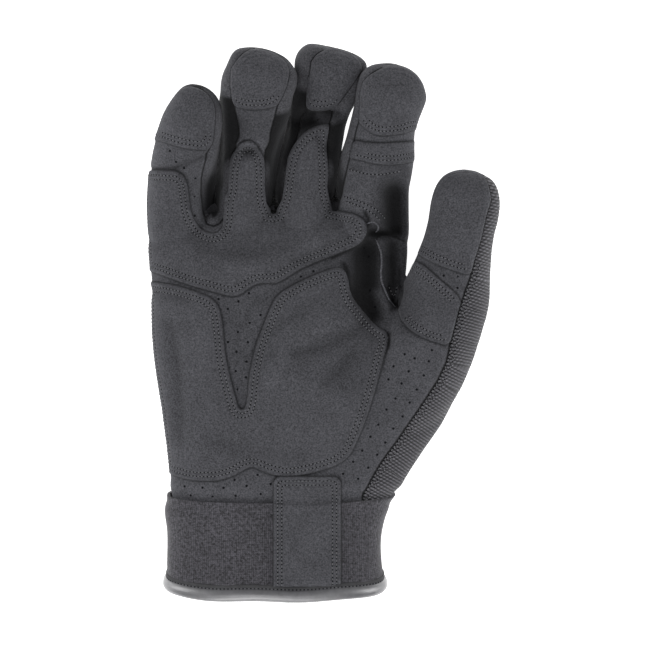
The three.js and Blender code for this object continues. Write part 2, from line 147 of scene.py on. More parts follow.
# Where the palm-side suede ends on each finger, beyond the outline where no seam shows.
SEAMS = {
    "little": [
        (120, 260), (120, 80), (184, 78), (194, 85.5), (204.4, 90.8), (212, 98.5), (216, 106),
        (217.4, 113.3), (216.9, 126.5), (214.7, 144), (211, 150), (205.9, 166.1), (202.9, 179.4),
        (202.4, 193), (203.7, 205), (206, 222), (206, 260),
    ],
    "ring": [
        (222, 260), (222, 229), (224.9, 193.3), (228, 191), (229, 160), (235, 148),
        (238.9, 136.8), (238.4, 128), (233.7, 107.5), (231.5, 101.6), (230, 88.4), (230.8, 70.8),
        (236.7, 62), (244.3, 54), (251, 48), (262, 44), (273, 48), (281, 56.5), (288, 64.2),
        (291, 73.7), (288, 88.4), (282.1, 101.6), (279.2, 106), (273.3, 126.5), (271.1, 135.4),
        (271, 142), (266, 153), (265.5, 172), (265.3, 187), (266.7, 203), (271.5, 209), (271.5, 260),
    ],
    "middle": [
        (276, 260), (276, 210), (281.4, 199.9), (283.6, 186.7), (285.8, 169), (288, 154.4),
        (293, 145.6), (296.8, 135.4), (300, 118), (304, 110), (305.5, 95), (306.4, 81),
        (309.3, 75.2), (310.8, 62), (316.5, 54.5), (326, 48), (337, 42), (347, 46),
        (354, 54.5), (360.5, 61), (363.8, 69.3), (355.5, 82.5), (343.8, 98.7), (334, 111),
        (331, 122), (329, 135), (327, 148.6), (329, 172), (327.6, 186.7), (330, 200), (333, 207),
        (333, 260),
    ],
    "index": [
        (336, 260), (336, 207), (340.8, 194), (344.5, 175), (348.2, 157.4), (352.6, 139.7),
        (356.2, 126.5), (357.7, 122), (358.4, 106), (359.2, 91.3), (361.8, 82.5), (371, 74),
        (383, 66.5), (394, 60), (406, 62), (418, 71), (426, 80), (460, 88), (460, 260),
    ],
    "thumb": [
        (470, 150), (380, 150), (380, 300), (300, 440), (300, 500), (363, 500), (363, 494),
        (380, 464), (399, 438), (420, 407), (437, 381), (446, 362), (451, 339), (460, 306),
        (470, 277), (474, 261), (481, 240), (486, 216), (491, 200), (488, 185), (481, 171),
    ],
}
BODY_SEAM = [
    (120, 560), (120, 225), (203, 218), (207, 223.5), (214, 225.5), (220, 222.5), (224, 215),
    (268, 213), (274, 213.5), (280, 212), (331, 210), (336, 211), (340, 212), (420, 222),
    (420, 330), (451, 339), (446, 362), (437, 381), (420, 407), (399, 438), (380, 464), (363, 494),
    (361, 560),
]
THUMB_SEAM_LINE = [
    (486, 216), (481, 240), (474, 261), (470, 277), (460, 306), (451, 339), (446, 362), (437, 381),
    (420, 407), (399, 438), (380, 464), (363, 494), (352, 512),
]

# Outlines of the suede overlays.
PATCHES = {
    "upper_palm_patch": [
        (138, 268), (154, 272.5), (172, 279.5), (191, 286.5), (212, 292.5), (232, 297.5),
        (241, 296), (248, 290.5), (256, 285.2), (265, 284), (275, 284.8), (285, 280), (299, 271),
        (316, 263.5), (334, 256), (352, 248), (362, 241.5), (367, 232), (365.5, 221), (357, 214),
        (346, 212), (336, 210), (332.5, 200), (330, 185), (331, 170), (329.5, 150), (331, 135),
        (331.5, 124), (318, 125.5), (305, 132), (297, 141), (289, 155), (286, 172), (283.5, 187),
        (280, 203), (272, 213), (266, 204), (265, 187), (265.2, 170), (263.5, 155), (255, 141),
        (243, 141), (235, 150), (230, 163), (228.5, 188), (225, 200), (223.5, 227), (216, 234.5),
        (205, 232), (196.5, 224), (191.5, 213), (189.6, 197), (188.6, 183), (184, 174), (177, 170.8),
        (158, 170.5), (138, 169),
    ],
    "lower_palm_patch": [
        (138, 279), (156, 281.5), (178, 285), (196, 291), (212, 297), (220.5, 306), (224, 325),
        (226, 350), (229, 366), (233, 384), (237.5, 400), (240, 408), (245, 408.5), (247.5, 400),
        (249, 378), (254, 350), (262.5, 326), (271, 306), (277, 295), (293, 285), (314, 275), (332, 268.5),
        (342, 268), (347.5, 276), (349.5, 294), (360, 309), (375, 326), (390, 333.5), (387, 350),
        (383, 361), (375, 392), (365, 422), (356, 443), (350, 455), (340, 463), (326, 469),
        (306, 474), (289, 477.5), (273, 474.5), (261, 470), (252, 466), (244, 470), (236, 475),
        (220, 480.5), (204, 481), (189, 480), (170, 474), (150, 468), (138, 460),
    ],
    "little_tip_patch": [
        (128, 140), (140, 84), (186, 80), (193, 87.5), (204.4, 91.4), (212, 98.5), (216, 106),
        (217.4, 113.3), (216.9, 126.5), (214.4, 144), (208.5, 152), (190, 151), (173, 146.5),
        (158, 141),
    ],
    "ring_tip_patch": [
        (229.6, 80), (230.8, 70.8), (236.7, 62), (244.3, 55), (252, 51.5), (262, 50.5),
        (272, 51.7), (281, 57.5), (288, 64.2), (291, 73.7), (288, 88.4), (282.1, 101.6),
        (277, 108), (262, 112), (241, 111), (233, 105), (231, 98), (230, 88),
    ],
    "middle_tip_patch": [
        (306.4, 81), (309.3, 75.2), (310.8, 63.5), (315.9, 56), (327.6, 49.5), (337, 48.5),
        (346.7, 51), (355, 56), (361.4, 62), (364.8, 69.3), (355.5, 82.5), (343.8, 98.7),
        (336, 108), (322, 112), (306, 110), (305.5, 95),
    ],
    "index_tip_patch": [
        (359.2, 91.3), (362.8, 82.5), (373.1, 74.5), (387, 68.6), (398, 67.4), (408, 70),
        (416, 75.5), (422, 84), (440, 90), (440, 132), (414, 130), (400, 136), (377, 138),
        (366, 131.5), (357.7, 122), (358.4, 106),
    ],
    "index_middle_patch": [
        (352.6, 139.7), (370, 143.5), (392, 143.5), (430, 139), (430, 158), (398, 165.5),
        (378, 166), (362, 162), (346, 158),
    ],
    "thumb_tip_patch": [
        (412, 250), (426, 160), (470, 150), (481, 171), (488, 185), (491, 200), (486, 216),
        (481, 240), (474, 261), (469, 277), (450, 271), (433, 264), (418, 255),
    ],
    "thumb_middle_patch": [
        (410, 264), (419, 261), (436, 276), (463, 300), (457, 320), (449.5, 347.5), (424, 340),
        (409, 331), (399, 318), (398, 302), (401, 284),
    ],
    "thumb_saddle_patch": [
        (374, 239), (384, 235), (400, 238), (416, 250), (416, 276), (403, 282), (400, 300),
        (394, 306), (387.5, 299), (384, 289), (380.5, 279), (381, 262), (380, 251),
    ],
}
PATCH_FORMS = {
    "little_tip_patch": ("little",), "ring_tip_patch": ("ring",), "middle_tip_patch": ("middle",),
    "index_tip_patch": ("index",), "index_middle_patch": ("index",), "thumb_tip_patch": ("thumb",),
    "thumb_middle_patch": ("thumb", "palm"), "thumb_saddle_patch": ("palm", "index", "thumb"),
    "upper_palm_patch": ("palm", "little", "ring", "middle", "index"),
    "lower_palm_patch": ("palm", "thumb"),
}
# Edges along the finger seams carry no stitch rows, so rows stay within these limits of v.
ROW_LIMITS = {
    "little_tip_patch": (134, 170), "ring_tip_patch": (98, 120), "middle_tip_patch": (101, 120),
    "index_tip_patch": (122, 150), "index_middle_patch": (153, 175),
    "thumb_tip_patch": (240, 290), "thumb_middle_patch": (240, 360),
    "thumb_saddle_patch": (286, 310), "upper_palm_patch": (128, 310),
    "lower_palm_patch": (255, 500),
}
# Stitch rows that run across these overlays only, not down their sides.
CROSS_ROWS = ("thumb_tip_patch", "thumb_middle_patch", "index_middle_patch", "index_tip_patch")
# Rows sewn through the palm panel itself.
PANEL_ROWS = [
    [(345, 197), (352, 199), (361, 202.5), (370, 206.5), (378, 211.5), (385, 219)],
    [(347, 202), (355, 204.5), (365, 209), (373, 214), (380, 221)],
    [(350, 170), (364, 174.5), (382, 175.5), (400, 171.5)],
]
# Rolled edges: points along them and their radius in millimetres.
ROLLED_EDGES = [
    ([(375.5, 239), (378, 244), (381, 252), (381.8, 262), (380.8, 272), (381.2, 281), (384, 288),
      (387, 296), (390.5, 302), (395.5, 307)], 0.42),
    ([(366, 224.5), (370, 222.5), (374.5, 222.5), (378, 225.5), (378.4, 229.5), (375.5, 232.5)], 0.36),
]
SIDE_STRIPS = {
    "little_side_strip": ("little", 1), "ring_outer_side_strip": ("ring", -1),
    "ring_inner_side_strip": ("ring", 1), "middle_outer_side_strip": ("middle", -1),
    "middle_inner_side_strip": ("middle", 1), "index_side_strip": ("index", -1),
}

# Where along the finger each strip takes on painted shade deep between the fingers, by v.
STRIP_DEPTHS = {
    "little_side_strip": (168, 192), "ring_outer_side_strip": (92, 104),
    "ring_inner_side_strip": (104, 122), "middle_outer_side_strip": (76, 100),
    "middle_inner_side_strip": (108, 132), "index_side_strip": (150, 190),
}
# Painted shade on the floor of each gap between two fingers: points along it and its half width.
SLOT_ENDS = [
    ([(211, 186), (211, 206)], 8.0), ([(275.5, 190), (275.5, 208)], 10.0),
    ([(337, 186), (336, 206)], 10.0),
]
# How much of a strip's upper margin is spared that painted shade low down in a gap.
STRIP_MARGINS = {"little_side_strip": 0.85, "ring_outer_side_strip": 0.85}
# Painted shadows in the gaps under the raised edges of the overlays: points, half width in sheet units,
# darkness.
SHADOW_LINES = [
    ([(344, 264), (348, 273), (349.8, 290), (353, 298), (363, 312.5), (375, 327)], 2.3, 0.9),
    ([(332, 258), (352, 249.5), (363, 242.5), (368.5, 235)], 1.5, 0.8),
    ([(365, 213.5), (368.2, 219), (368.5, 225)], 2.2, 0.9),
    ([(370, 233), (377, 235), (388, 232.5), (399, 230.5)], 3.4, 0.75),
    ([(389.6, 332), (389, 340), (387.5, 349)], 1.2, 0.8),
]

# Hollows, folds and creases: form names, points, spread in sheet units, depth in millimetres. Besides
# their shape they paint shade into the suede, and painted light where raised.
FOLDS = [
    (("ring",), [(243, 153), (251, 152)], 5.5, 1.7),
    (("ring",), [(236, 145), (262, 143)], 3.0, -0.7),
    (("ring",), [(228, 163), (237, 149)], 2.6, 0.5),
    (("ring",), [(257, 147), (262, 165)], 3.0, 0.4),
    (("little",), [(150, 170), (177, 170), (193, 163), (209, 156)], 2.2, 1.1),
    (("little",), [(177, 170), (185, 185), (189, 205)], 4.5, 0.7),
    (("middle",), [(300, 112), (320, 113), (338, 110)], 3.0, 1.5),
    (("middle",), [(299, 130), (312, 124), (330, 124)], 2.2, 0.8),
    (("middle",), [(303, 69), (305, 82), (305, 110)], 2.0, 1.0),
    (("index",), [(354, 141), (376, 144), (402, 141)], 2.4, 0.5),
    (("index",), [(352, 166), (378, 171), (404, 166)], 2.6, 0.8),
    (("index",), [(364, 170), (380, 172), (396, 170)], 1.6, -0.7),
    (("index", "palm"), [(365, 213), (367, 223)], 2.0, 1.2),
    (("palm", "thumb"), [(388, 288), (391, 298), (397, 305)], 1.8, 1.4),
    (("palm", "thumb"), [(401, 268), (402, 290), (399, 306), (392, 309)], 2.2, 1.2),
    (("palm", "thumb"), [(386, 330), (389, 345)], 1.8, 0.8),
    (("thumb",), [(405, 327), (424, 336), (450, 345)], 2.6, 0.7),
    (("thumb",), [(422, 263), (441, 270), (464, 290)], 3.0, 0.7),
    (("thumb",), [(424, 298), (450, 308)], 15.0, 0.8),
    (("palm",), [(228, 300), (240, 345), (243, 400)], 11.0, 0.9),
    (("palm",), [(255, 300), (300, 280), (340, 262)], 7.0, 0.7),
    (("palm",), [(270, 350), (330, 340), (352, 305)], 26.0, 2.0),
    (("palm",), [(352, 290), (358, 312), (374, 332)], 5.0, 0.7),
    (("palm",), [(165, 486), (235, 490), (330, 488), (400, 484)], 5.0, -0.5),
    (("palm",), [(210, 440), (250, 452), (300, 455)], 9.0, 0.7),
    (("palm",), [(352, 352), (342, 366), (328, 380)], 8.0, 1.3),
    (("palm",), [(374, 342), (352, 374)], 17.0, 1.5),
    (("palm",), [(232, 246), (300, 250)], 12.0, 0.7),
    (("palm",), [(366, 322), (352, 333), (322, 346), (296, 352)], 7.0, 1.0),
    (("palm",), [(346, 316), (322, 328), (288, 345), (272, 380)], 7.0, -0.6),
    (("palm",), [(318, 300), (290, 318), (270, 330)], 6.0, 0.7),
    (("palm",), [(196, 300), (204, 330), (207, 370)], 7.0, -0.4),
    (("palm",), [(250, 312), (243, 326)], 4.0, 0.6),
    (("palm",), [(330, 258), (300, 262)], 6.0, 0.6),
    (("palm",), [(180, 215), (215, 250), (262, 258)], 8.0, 0.6),
    (("palm",), [(232, 268), (270, 262), (318, 240)], 6.0, -0.5),
    (("palm",), [(173, 325), (180, 370), (183, 440)], 8.0, 1.1),
    (("palm",), [(152, 292), (190, 300)], 5.0, 0.6),
]

# Deep hollows that sink straight down and paint shade into the suede: between the index finger's root, the
# palm and the thumb.
HOLLOWS = [
    (("index", "palm"), [(393, 193), (394, 226)], 11.5, 8.0),
    (("index", "palm"), [(371, 232), (386, 234), (398, 232)], 7.0, 6.5),
    (("palm", "thumb", "index"), [(366, 250), (366, 266), (366, 280)], 15.0, 8.5),
    (("palm", "thumb"), [(364, 288), (372, 312)], 13.0, 6.6),
    (("palm", "thumb", "index"), [(392, 244), (392, 284)], 11.0, 6.6),
    (("palm", "thumb", "index"), [(394, 290), (394, 300)], 5.0, 6.0),
    (("middle",), [(298, 122), (311, 120)], 9.0, 6.5),
    (("middle",), [(320, 119), (338, 111)], 7.0, 4.0),
    (("middle",), [(318, 136), (326, 148)], 7.0, 1.8),
    (("ring",), [(246, 152), (253, 153)], 5.0, 2.0),
    (("ring",), [(240, 124), (262, 124)], 10.0, 1.3),
    (("thumb",), [(404, 284), (406, 318)], 13.0, 1.9),
    (("index",), [(388, 176), (402, 174)], 6.0, 1.6),
]

# The soft lights: name, place in metres, side in metres, power in watts.
LIGHTS = [
    ("left_light", (-1.25, 0.45, 0.62), 0.9, 13.5), ("right_light", (1.25, 0.15, 0.62), 0.9, 12.0),
    ("wrist_light", (-0.15, -1.25, 0.85), 0.9, 13.0), ("high_light", (-0.2, -0.45, 1.6), 1.0, 7.6),
]
CAMERA_DISTANCE = 2.2
PICTURE_WIDTH = 646

# Small punched holes of the perforated suede, drawn as dark discs of painted shade.
PERFORATIONS = [
    (249.5, 293.4), (239, 301.5), (228.4, 309), (219.2, 299.2), (261, 315), (250.3, 323),
    (238.4, 332), (228.6, 342), (248.4, 342), (237.1, 351.6), (247, 361.3), (236.3, 370.8),
    (246.6, 377), (238.2, 389), (313.5, 271.5), (301, 277),
    (185, 486), (203, 487), (224, 487), (247, 485), (271, 483), (235, 479), (258, 474), (191, 495),
    (213, 496), (236, 495), (261, 493), (431, 350), (428, 361), (423, 375), (416, 389), (409, 402),
    (402, 416), (393, 428), (385, 442), (377, 454), (368, 467), (358, 478), (414, 358), (408, 371),
    (401, 383), (395, 398), (386, 409), (378, 424), (370, 436), (362, 450), (353, 461), (343, 473),
    (404, 354), (393, 366), (388, 379), (430.8, 257.6), (442.8, 276),
    (456.5, 277), (456.5, 288.2), (171, 152), (177, 163), (185, 169), (196, 179),
    (195, 197), (195, 216), (318, 120), (364.5, 247.5), (368.5, 256.5), (370, 290.5), (375, 307),
]
TAB_OUTLINE_U = (273, 341.5)
TAB_OUTLINE_V = (475, 585)


class GloveSizes(bpy.types.PropertyGroup):
    """Sizes of the cloth, the overlays and the stitching."""

    cloth_cell: bpy.props.FloatProperty(
        name="Cloth cell", description="Side of the small cells that the cloth is made of",
        default=0.00072, min=0.0004, unit="LENGTH")
    cloth_thickness: bpy.props.FloatProperty(
        name="Cloth thickness", description="Depth of the turned edges of the cloth",
        default=0.0012, min=0.0003, unit="LENGTH")
    patch_rise: bpy.props.FloatProperty(
        name="Overlay rise", description="How far a suede overlay stands above the panel",
        default=0.00095, min=0.0, unit="LENGTH")
    patch_fill: bpy.props.FloatProperty(
        name="Overlay fill", description="Extra rise of an overlay inside its stitch rows",
        default=0.0005, min=0.0, unit="LENGTH")
    seam_depth: bpy.props.FloatProperty(
        name="Seam depth", description="Depth of the groove along a seam",
        default=0.0008, min=0.0, unit="LENGTH")
    row_near: bpy.props.FloatProperty(
        name="First stitch row", description="Distance of the first row from an overlay's edge",
        default=0.0021, min=0.0005, unit="LENGTH")
    row_far: bpy.props.FloatProperty(
        name="Second stitch row", description="Distance of the second row from an overlay's edge",
        default=0.0038, min=0.0005, unit="LENGTH")
    stitch_pitch: bpy.props.FloatProperty(
        name="Stitch pitch", description="Distance from one stitch to the next",
        default=0.00160, min=0.0005, unit="LENGTH")
    stitch_width: bpy.props.FloatProperty(
        name="Stitch width", description="Width of one stitch",
        default=0.00046, min=0.0001, unit="LENGTH")
    needle_hole: bpy.props.FloatProperty(
        name="Needle hole", description="Width of the hole between two stitches",
        default=0.00080, min=0.0001, unit="LENGTH")
    perforation: bpy.props.FloatProperty(
        name="Perforation", description="Width of a punched hole",
        default=0.00105, min=0.0003, unit="LENGTH")
    rib_pitch: bpy.props.FloatProperty(
        name="Rib pitch", description="Distance from rib to rib of the stretch back",
        default=0.0013, min=0.0005, unit="LENGTH")


class GloveColours(bpy.types.PropertyGroup):
    """Colours of the materials."""

    suede: bpy.props.FloatVectorProperty(
        name="Suede", description="Colour of the palm-side suede", subtype="COLOR", size=3,
        default=(0.0525, 0.0527, 0.0590), min=0.0, max=1.0)
    overlay: bpy.props.FloatVectorProperty(
        name="Overlay", description="Colour of the suede overlays", subtype="COLOR", size=3,
        default=(0.0525, 0.0527, 0.0590), min=0.0, max=1.0)
    strip: bpy.props.FloatVectorProperty(
        name="Side strip", description="Colour of the strips between the fingers",
        subtype="COLOR", size=3, default=(0.054, 0.054, 0.060), min=0.0, max=1.0)
    ribbed: bpy.props.FloatVectorProperty(
        name="Ribbed back", description="Colour of the ribbed stretch back", subtype="COLOR",
        size=3, default=(0.069, 0.0675, 0.0755), min=0.0, max=1.0)
    knit: bpy.props.FloatVectorProperty(
        name="Cuff knit", description="Colour of the knitted cuff", subtype="COLOR", size=3,
        default=(0.0430, 0.0415, 0.0480), min=0.0, max=1.0)
    binding: bpy.props.FloatVectorProperty(
        name="Binding", description="Colour of the rolled binding", subtype="COLOR", size=3,
        default=(0.088, 0.088, 0.094), min=0.0, max=1.0)
    thread: bpy.props.FloatVectorProperty(
        name="Thread", description="Colour of the sewing thread", subtype="COLOR", size=3,
        default=(0.098, 0.099, 0.106), min=0.0, max=1.0)
    floor: bpy.props.FloatVectorProperty(
        name="Floor", description="Colour of the floor", subtype="COLOR", size=3,
        default=(0.93, 0.93, 0.93), min=0.0, max=1.0)


# Shared between the operators: the form of the hand, its fields and the finished surfaces.
workshop = {}


def place(u, v):
    return ((u - SHEET_U) * UNIT, (SHEET_V - v) * UNIT)


def sheet_points(points):
    """Sheet coordinates of points given in metres."""
    return np.column_stack([points[:, 0] / UNIT + SHEET_U, SHEET_V - points[:, 1] / UNIT])


def smoothstep(low, high, value):
    t = np.clip((value - low) / (high - low), 0.0, 1.0)
    return t * t * (3.0 - 2.0 * t)


def even_rows(table, count):
    """Rows at even steps along a table of sections, on one smooth curve."""
    rows = np.array(table, float)
    steps = np.sqrt((np.diff(rows[:, :3], axis=0) ** 2).sum(axis=1))
    where = np.concatenate([[0.0], np.cumsum(steps)])
    slopes = np.diff(rows, axis=0) / steps[:, None]
    tangents = np.vstack([slopes[:1], slopes[:1], slopes[1:]])[: len(rows)]
    for i in range(1, len(rows) - 1):
        before, after = steps[i - 1], steps[i]
        tangents[i] = (slopes[i - 1] * after + slopes[i] * before) / (before + after)
    tangents[0], tangents[-1] = slopes[0], slopes[-1]
    at = np.linspace(0.0, where[-1], count)
    index = np.clip(np.searchsorted(where, at, side="right") - 1, 0, len(steps) - 1)
    span = steps[index][:, None]
    t = ((at - where[index]) / steps[index])[:, None]
    start, end = rows[index], rows[index + 1]
    return (
        start * (2 * t ** 3 - 3 * t ** 2 + 1) + tangents[index] * span * (t ** 3 - 2 * t ** 2 + t)
        + end * (3 * t ** 2 - 2 * t ** 3) + tangents[index + 1] * span * (t ** 3 - t ** 2)
    )


def superellipse(angles, a, b, power):
    """Points of a rounded section for angles from the side."""
    c, s = np.cos(angles), np.sin(angles)
    k = (np.abs(c) ** power + np.abs(s) ** power) ** (-1.0 / power)
    return a * c * k, b * s * k


def finger_sections(name, count=56):
    """Centre, along, side, up, half width and half thickness of even sections of a finger."""
    rows = even_rows(FINGERS[name], count)
    x, y = place(rows[:, 0], rows[:, 1])
    centre = np.column_stack([x, y, rows[:, 3] * MM])
    reach = 4
    ahead = centre[np.minimum(np.arange(count) + reach, count - 1)]
    behind = centre[np.maximum(np.arange(count) - reach, 0)]
    along = ahead - behind
    along /= np.linalg.norm(along, axis=1)[:, None]
    # The last sections round the tip off without turning.
    hold = int(np.argmin(np.abs(rows[:, 1] - rows[-1, 1] - 26.0)))
    along[hold:] = along[hold]
    side = np.cross(along, (0.0, 0.0, 1.0))
    side /= np.linalg.norm(side, axis=1)[:, None]
    up = np.cross(side, along)
    return centre, along, side, up, rows[:, 2] * UNIT, rows[:, 4] * MM


def spread_at(name, y):
    v = SHEET_V - y / UNIT
    return SPREAD[name] * MM * smoothstep(212.0, 120.0, v)


def closed_rings(rings):
    """A closed tube through rings of equal length: each ring is drawn out of the last one."""
    bm = bmesh.new()
    made = bmesh.ops.create_circle(bm, segments=len(rings[0]), radius=1.0, cap_ends=False)
    verts = list(made["verts"])
    bm.verts.ensure_lookup_table()
    for vert, point in zip(verts, rings[0]):
        vert.co = point
    edges = list(bm.edges)
    first_edges = edges
    for ring in rings[1:]:
        drawn = bmesh.ops.extrude_edge_only(bm, edges=edges)["geom"]
        fresh = {item for item in drawn if isinstance(item, bmesh.types.BMVert)}
        edges = [item for item in drawn if isinstance(item, bmesh.types.BMEdge)]
        edges = [edge for edge in edges if edge.verts[0] in fresh and edge.verts[1] in fresh]
        following = []
        for vert in verts:
            for edge in vert.link_edges:
                other = edge.other_vert(vert)
                if other in fresh:
                    following.append(other)
                    break
        for vert, point in zip(following, ring):
            vert.co = point
        verts = following
    return bm, first_edges, edges


def close_ends(bm, *loops):
    for loop in loops:
        bmesh.ops.contextual_create(bm, geom=loop)
    bmesh.ops.recalc_face_normals(bm, faces=list(bm.faces))


def low_reach(name, y, across, height):
    """The sideways reach of a finger's lower half, for places across and up its section."""
    v = SHEET_V - y / UNIT
    reach = np.zeros(len(across))
    low = smoothstep(0.25, -0.55, height)
    for way in (-1, 1):
        table = LOW_REACH.get((name, way))
        if table is None:
            continue
        amount = np.interp(v, [row[0] for row in table], [row[1] for row in table])
        reach += way * amount * UNIT * low * smoothstep(0.1, 0.6, across * way)
    return reach


def finger_form(name, grow=0.0, around=48):
    centre, along, side, up, a, b = finger_sections(name)
    angles = np.linspace(0.0, 2 * np.pi, around, endpoint=False)
    rings = []
    for i in range(len(centre)):
        half, thick = max(a[i] + grow, 0.0004), max(b[i] + grow, 0.0004)
        p, q = superellipse(angles, half, thick, FINGER_POWER)
        p = p + low_reach(name, centre[i, 1], p / half, q / thick)
        ring = centre[i] + p[:, None] * side[i] + q[:, None] * up[i]
        if i == len(centre) - 1:
            ring = ring + along[i] * grow
        ring[:, 0] += spread_at(name, ring[:, 1])
        rings.append(ring)
    bm, start, end = closed_rings(rings)
    close_ends(bm, start, end)
    return bm


def row_rings(table, count, around, grow=0.0, power=PALM_POWER):
    """Rings through rows of the palm or the cuff."""
    rows = even_rows([(r[1], r[0], r[2], r[3], r[4], r[5]) for r in table], count)
    angles = np.linspace(0.0, 2 * np.pi, around, endpoint=False)
    rings = []
    for left, v, right, height, thick, slope in rows:
        x_left, y = place(left, v)
        x_right, _ = place(right, v)
        half = (x_right - x_left) / 2 + grow
        p, q = superellipse(angles, half, thick * MM + grow, power)
        rings.append(np.column_stack([
            (x_left + x_right) / 2 + p, y - slope * q, height * MM + q,
        ]))
    return rings


def palm_form(grow=0.0):
    bm, start, end = closed_rings(row_rings(PALM, 56, 112, grow))
    close_ends(bm, start, end)
    return bm


def join_forms(name, forms):
    whole = bmesh.new()
    for bm in forms:
        part = bpy.data.meshes.new("part")
        bm.to_mesh(part)
        bm.free()
        whole.from_mesh(part)
        bpy.data.meshes.remove(part)
    mesh = bpy.data.meshes.new(name)
    whole.to_mesh(mesh)
    whole.free()
    return mesh


def one_skin(mesh, cell):
    """One closed skin of small even cells over overlapping closed forms."""
    obj = bpy.data.objects.new("skin", mesh)
    bpy.context.scene.collection.objects.link(obj)
    skin = obj.modifiers.new("Skin", "REMESH")
    skin.mode = "VOXEL"
    skin.voxel_size = cell
    graph = bpy.context.evaluated_depsgraph_get()
    made = bpy.data.meshes.new_from_object(obj.evaluated_get(graph))
    bpy.data.objects.remove(obj)
    bpy.data.meshes.remove(mesh)
    return made


def coordinates(mesh):
    points = np.empty(len(mesh.vertices) * 3)
    mesh.vertices.foreach_get("co", points)
    return points.reshape(-1, 3)


def set_coordinates(mesh, points):
    mesh.vertices.foreach_set("co", np.ascontiguousarray(points, dtype=np.float32).ravel())
    mesh.update()


def vertex_normals(mesh):
    normals = np.empty(len(mesh.vertices) * 3)
    mesh.vertices.foreach_get("normal", normals)
    return normals.reshape(-1, 3)


def soft_normals(mesh, pairs):
    normals = relaxed(vertex_normals(mesh), pairs, 2)
    return normals / np.maximum(np.linalg.norm(normals, axis=1), 1e-9)[:, None]


def field_of(obj, name):
    values = np.empty(len(obj.data.vertices), dtype=np.float32)
    obj.data.attributes[name].data.foreach_get("value", values)
    return values


def edge_pairs(mesh):
    pairs = np.empty(len(mesh.edges) * 2, dtype=np.int64)
    mesh.edges.foreach_get("vertices", pairs)
    return pairs.reshape(-1, 2)


def relaxed(values, pairs, rounds, factor=0.5):
    """Values smoothed over their neighbours along the edges."""
    values = np.array(values, float)
    flat = values.ndim == 1
    if flat:
        values = values[:, None]
    count = len(values)
    a, b = pairs[:, 0], pairs[:, 1]
    degree = np.maximum(np.bincount(a, minlength=count) + np.bincount(b, minlength=count), 1)
    for _ in range(rounds):
        for k in range(values.shape[1]):
            column = values[:, k]
            total = np.bincount(a, weights=column[b], minlength=count)
            total += np.bincount(b, weights=column[a], minlength=count)
            values[:, k] = column + factor * (total / degree - column)
    return values[:, 0] if flat else values


def inside_distance(points, outline):
    """Distance in sheet units to a closed outline, positive inside it."""
    corners = np.array(outline, float)
    x, y = points[:, 0], points[:, 1]
    best = np.full(len(points), 1e9)
    inside = np.zeros(len(points), dtype=bool)
    for (ax, ay), (bx, by) in zip(corners, np.roll(corners, -1, axis=0)):
        dx, dy = bx - ax, by - ay
        t = np.clip(((x - ax) * dx + (y - ay) * dy) / (dx * dx + dy * dy + 1e-12), 0.0, 1.0)
        best = np.minimum(best, np.hypot(x - ax - t * dx, y - ay - t * dy))
        crosses = (ay > y) != (by > y)
        slope = (bx - ax) / (by - ay) if by != ay else 0.0
        inside ^= crosses & (x < slope * (y - ay) + ax)
    return np.where(inside, best, -best)


def line_distance(points, line, past_ends=False):
    """Distance to an open line and the place along it, in sheet units.

    With past_ends the first and the last stretch run on straight.
    """
    corners = np.array(line, float)
    x, y = points[:, 0], points[:, 1]
    best = np.full(len(points), 1e9)
    run = np.zeros(len(points))
    done = 0.0
    last = len(corners) - 2
    for i in range(len(corners) - 1):
        ax, ay = corners[i]
        dx, dy = corners[i + 1] - corners[i]
        length = math.hypot(dx, dy)
        low = -30.0 if past_ends and i == 0 else 0.0
        high = 30.0 if past_ends and i == last else 1.0
        t = np.clip(((x - ax) * dx + (y - ay) * dy) / length ** 2, low, high)
        distance = np.hypot(x - ax - t * dx, y - ay - t * dy)
        nearer = distance < best
        best = np.where(nearer, distance, best)
        run = np.where(nearer, done + t * length, run)
        done += length
    return best, run


def rounded(outline, rounds=1):
    """The outline with its corners cut."""
    corners = np.array(outline, float)
    for _ in range(rounds):
        following = np.roll(corners, -1, axis=0)
        near = corners * 0.75 + following * 0.25
        far = corners * 0.25 + following * 0.75
        corners = np.stack([near, far], axis=1).reshape(-1, 2)
    return corners


def finger_reading(name, points):
    """How far out each point is on a finger's sections, with its place p and q across them."""
    centre, along, side, up, a, b = finger_sections(name)
    rho = np.full(len(points), 99.0)
    p_out = np.zeros(len(points))
    q_out = np.zeros(len(points))
    low = centre.min(axis=0) - 0.026
    high = centre.max(axis=0) + 0.026
    near = np.all((points > low) & (points < high), axis=1)
    chosen = points[near]
    if len(chosen) == 0:
        return rho, p_out, q_out
    best = np.full(len(chosen), 1e9)
    index = np.zeros(len(chosen), dtype=np.int64)
    for i in range(len(centre)):
        offset = chosen - centre[i]
        score = np.abs(offset @ along[i]) + 0.02 * np.linalg.norm(offset, axis=1)
        better = score < best
        best = np.where(better, score, best)
        index = np.where(better, i, index)
    offset = chosen - centre[index]
    run = np.einsum("ij,ij->i", offset, along[index])
    p = np.einsum("ij,ij->i", offset, side[index])
    q = np.einsum("ij,ij->i", offset, up[index])
    half, thick = a[index], b[index]
    inner = p - low_reach(name, centre[index, 1], p / half, q / thick)
    ratio = (np.abs(inner / half) ** FINGER_POWER + np.abs(q / thick) ** FINGER_POWER)
    ratio = ratio ** (1 / FINGER_POWER)
    ends = np.where((index == 0) | (index == len(centre) - 1), np.abs(run), 0.0)
    rho[near] = np.hypot(ratio, ends / 0.006) if len(ratio) else ratio
    wide = np.maximum(half, a.max() * 0.72)
    p_out[near] = p / wide
    q_out[near] = q / np.maximum(thick, b.max() * 0.72)
    return rho, p_out, q_out


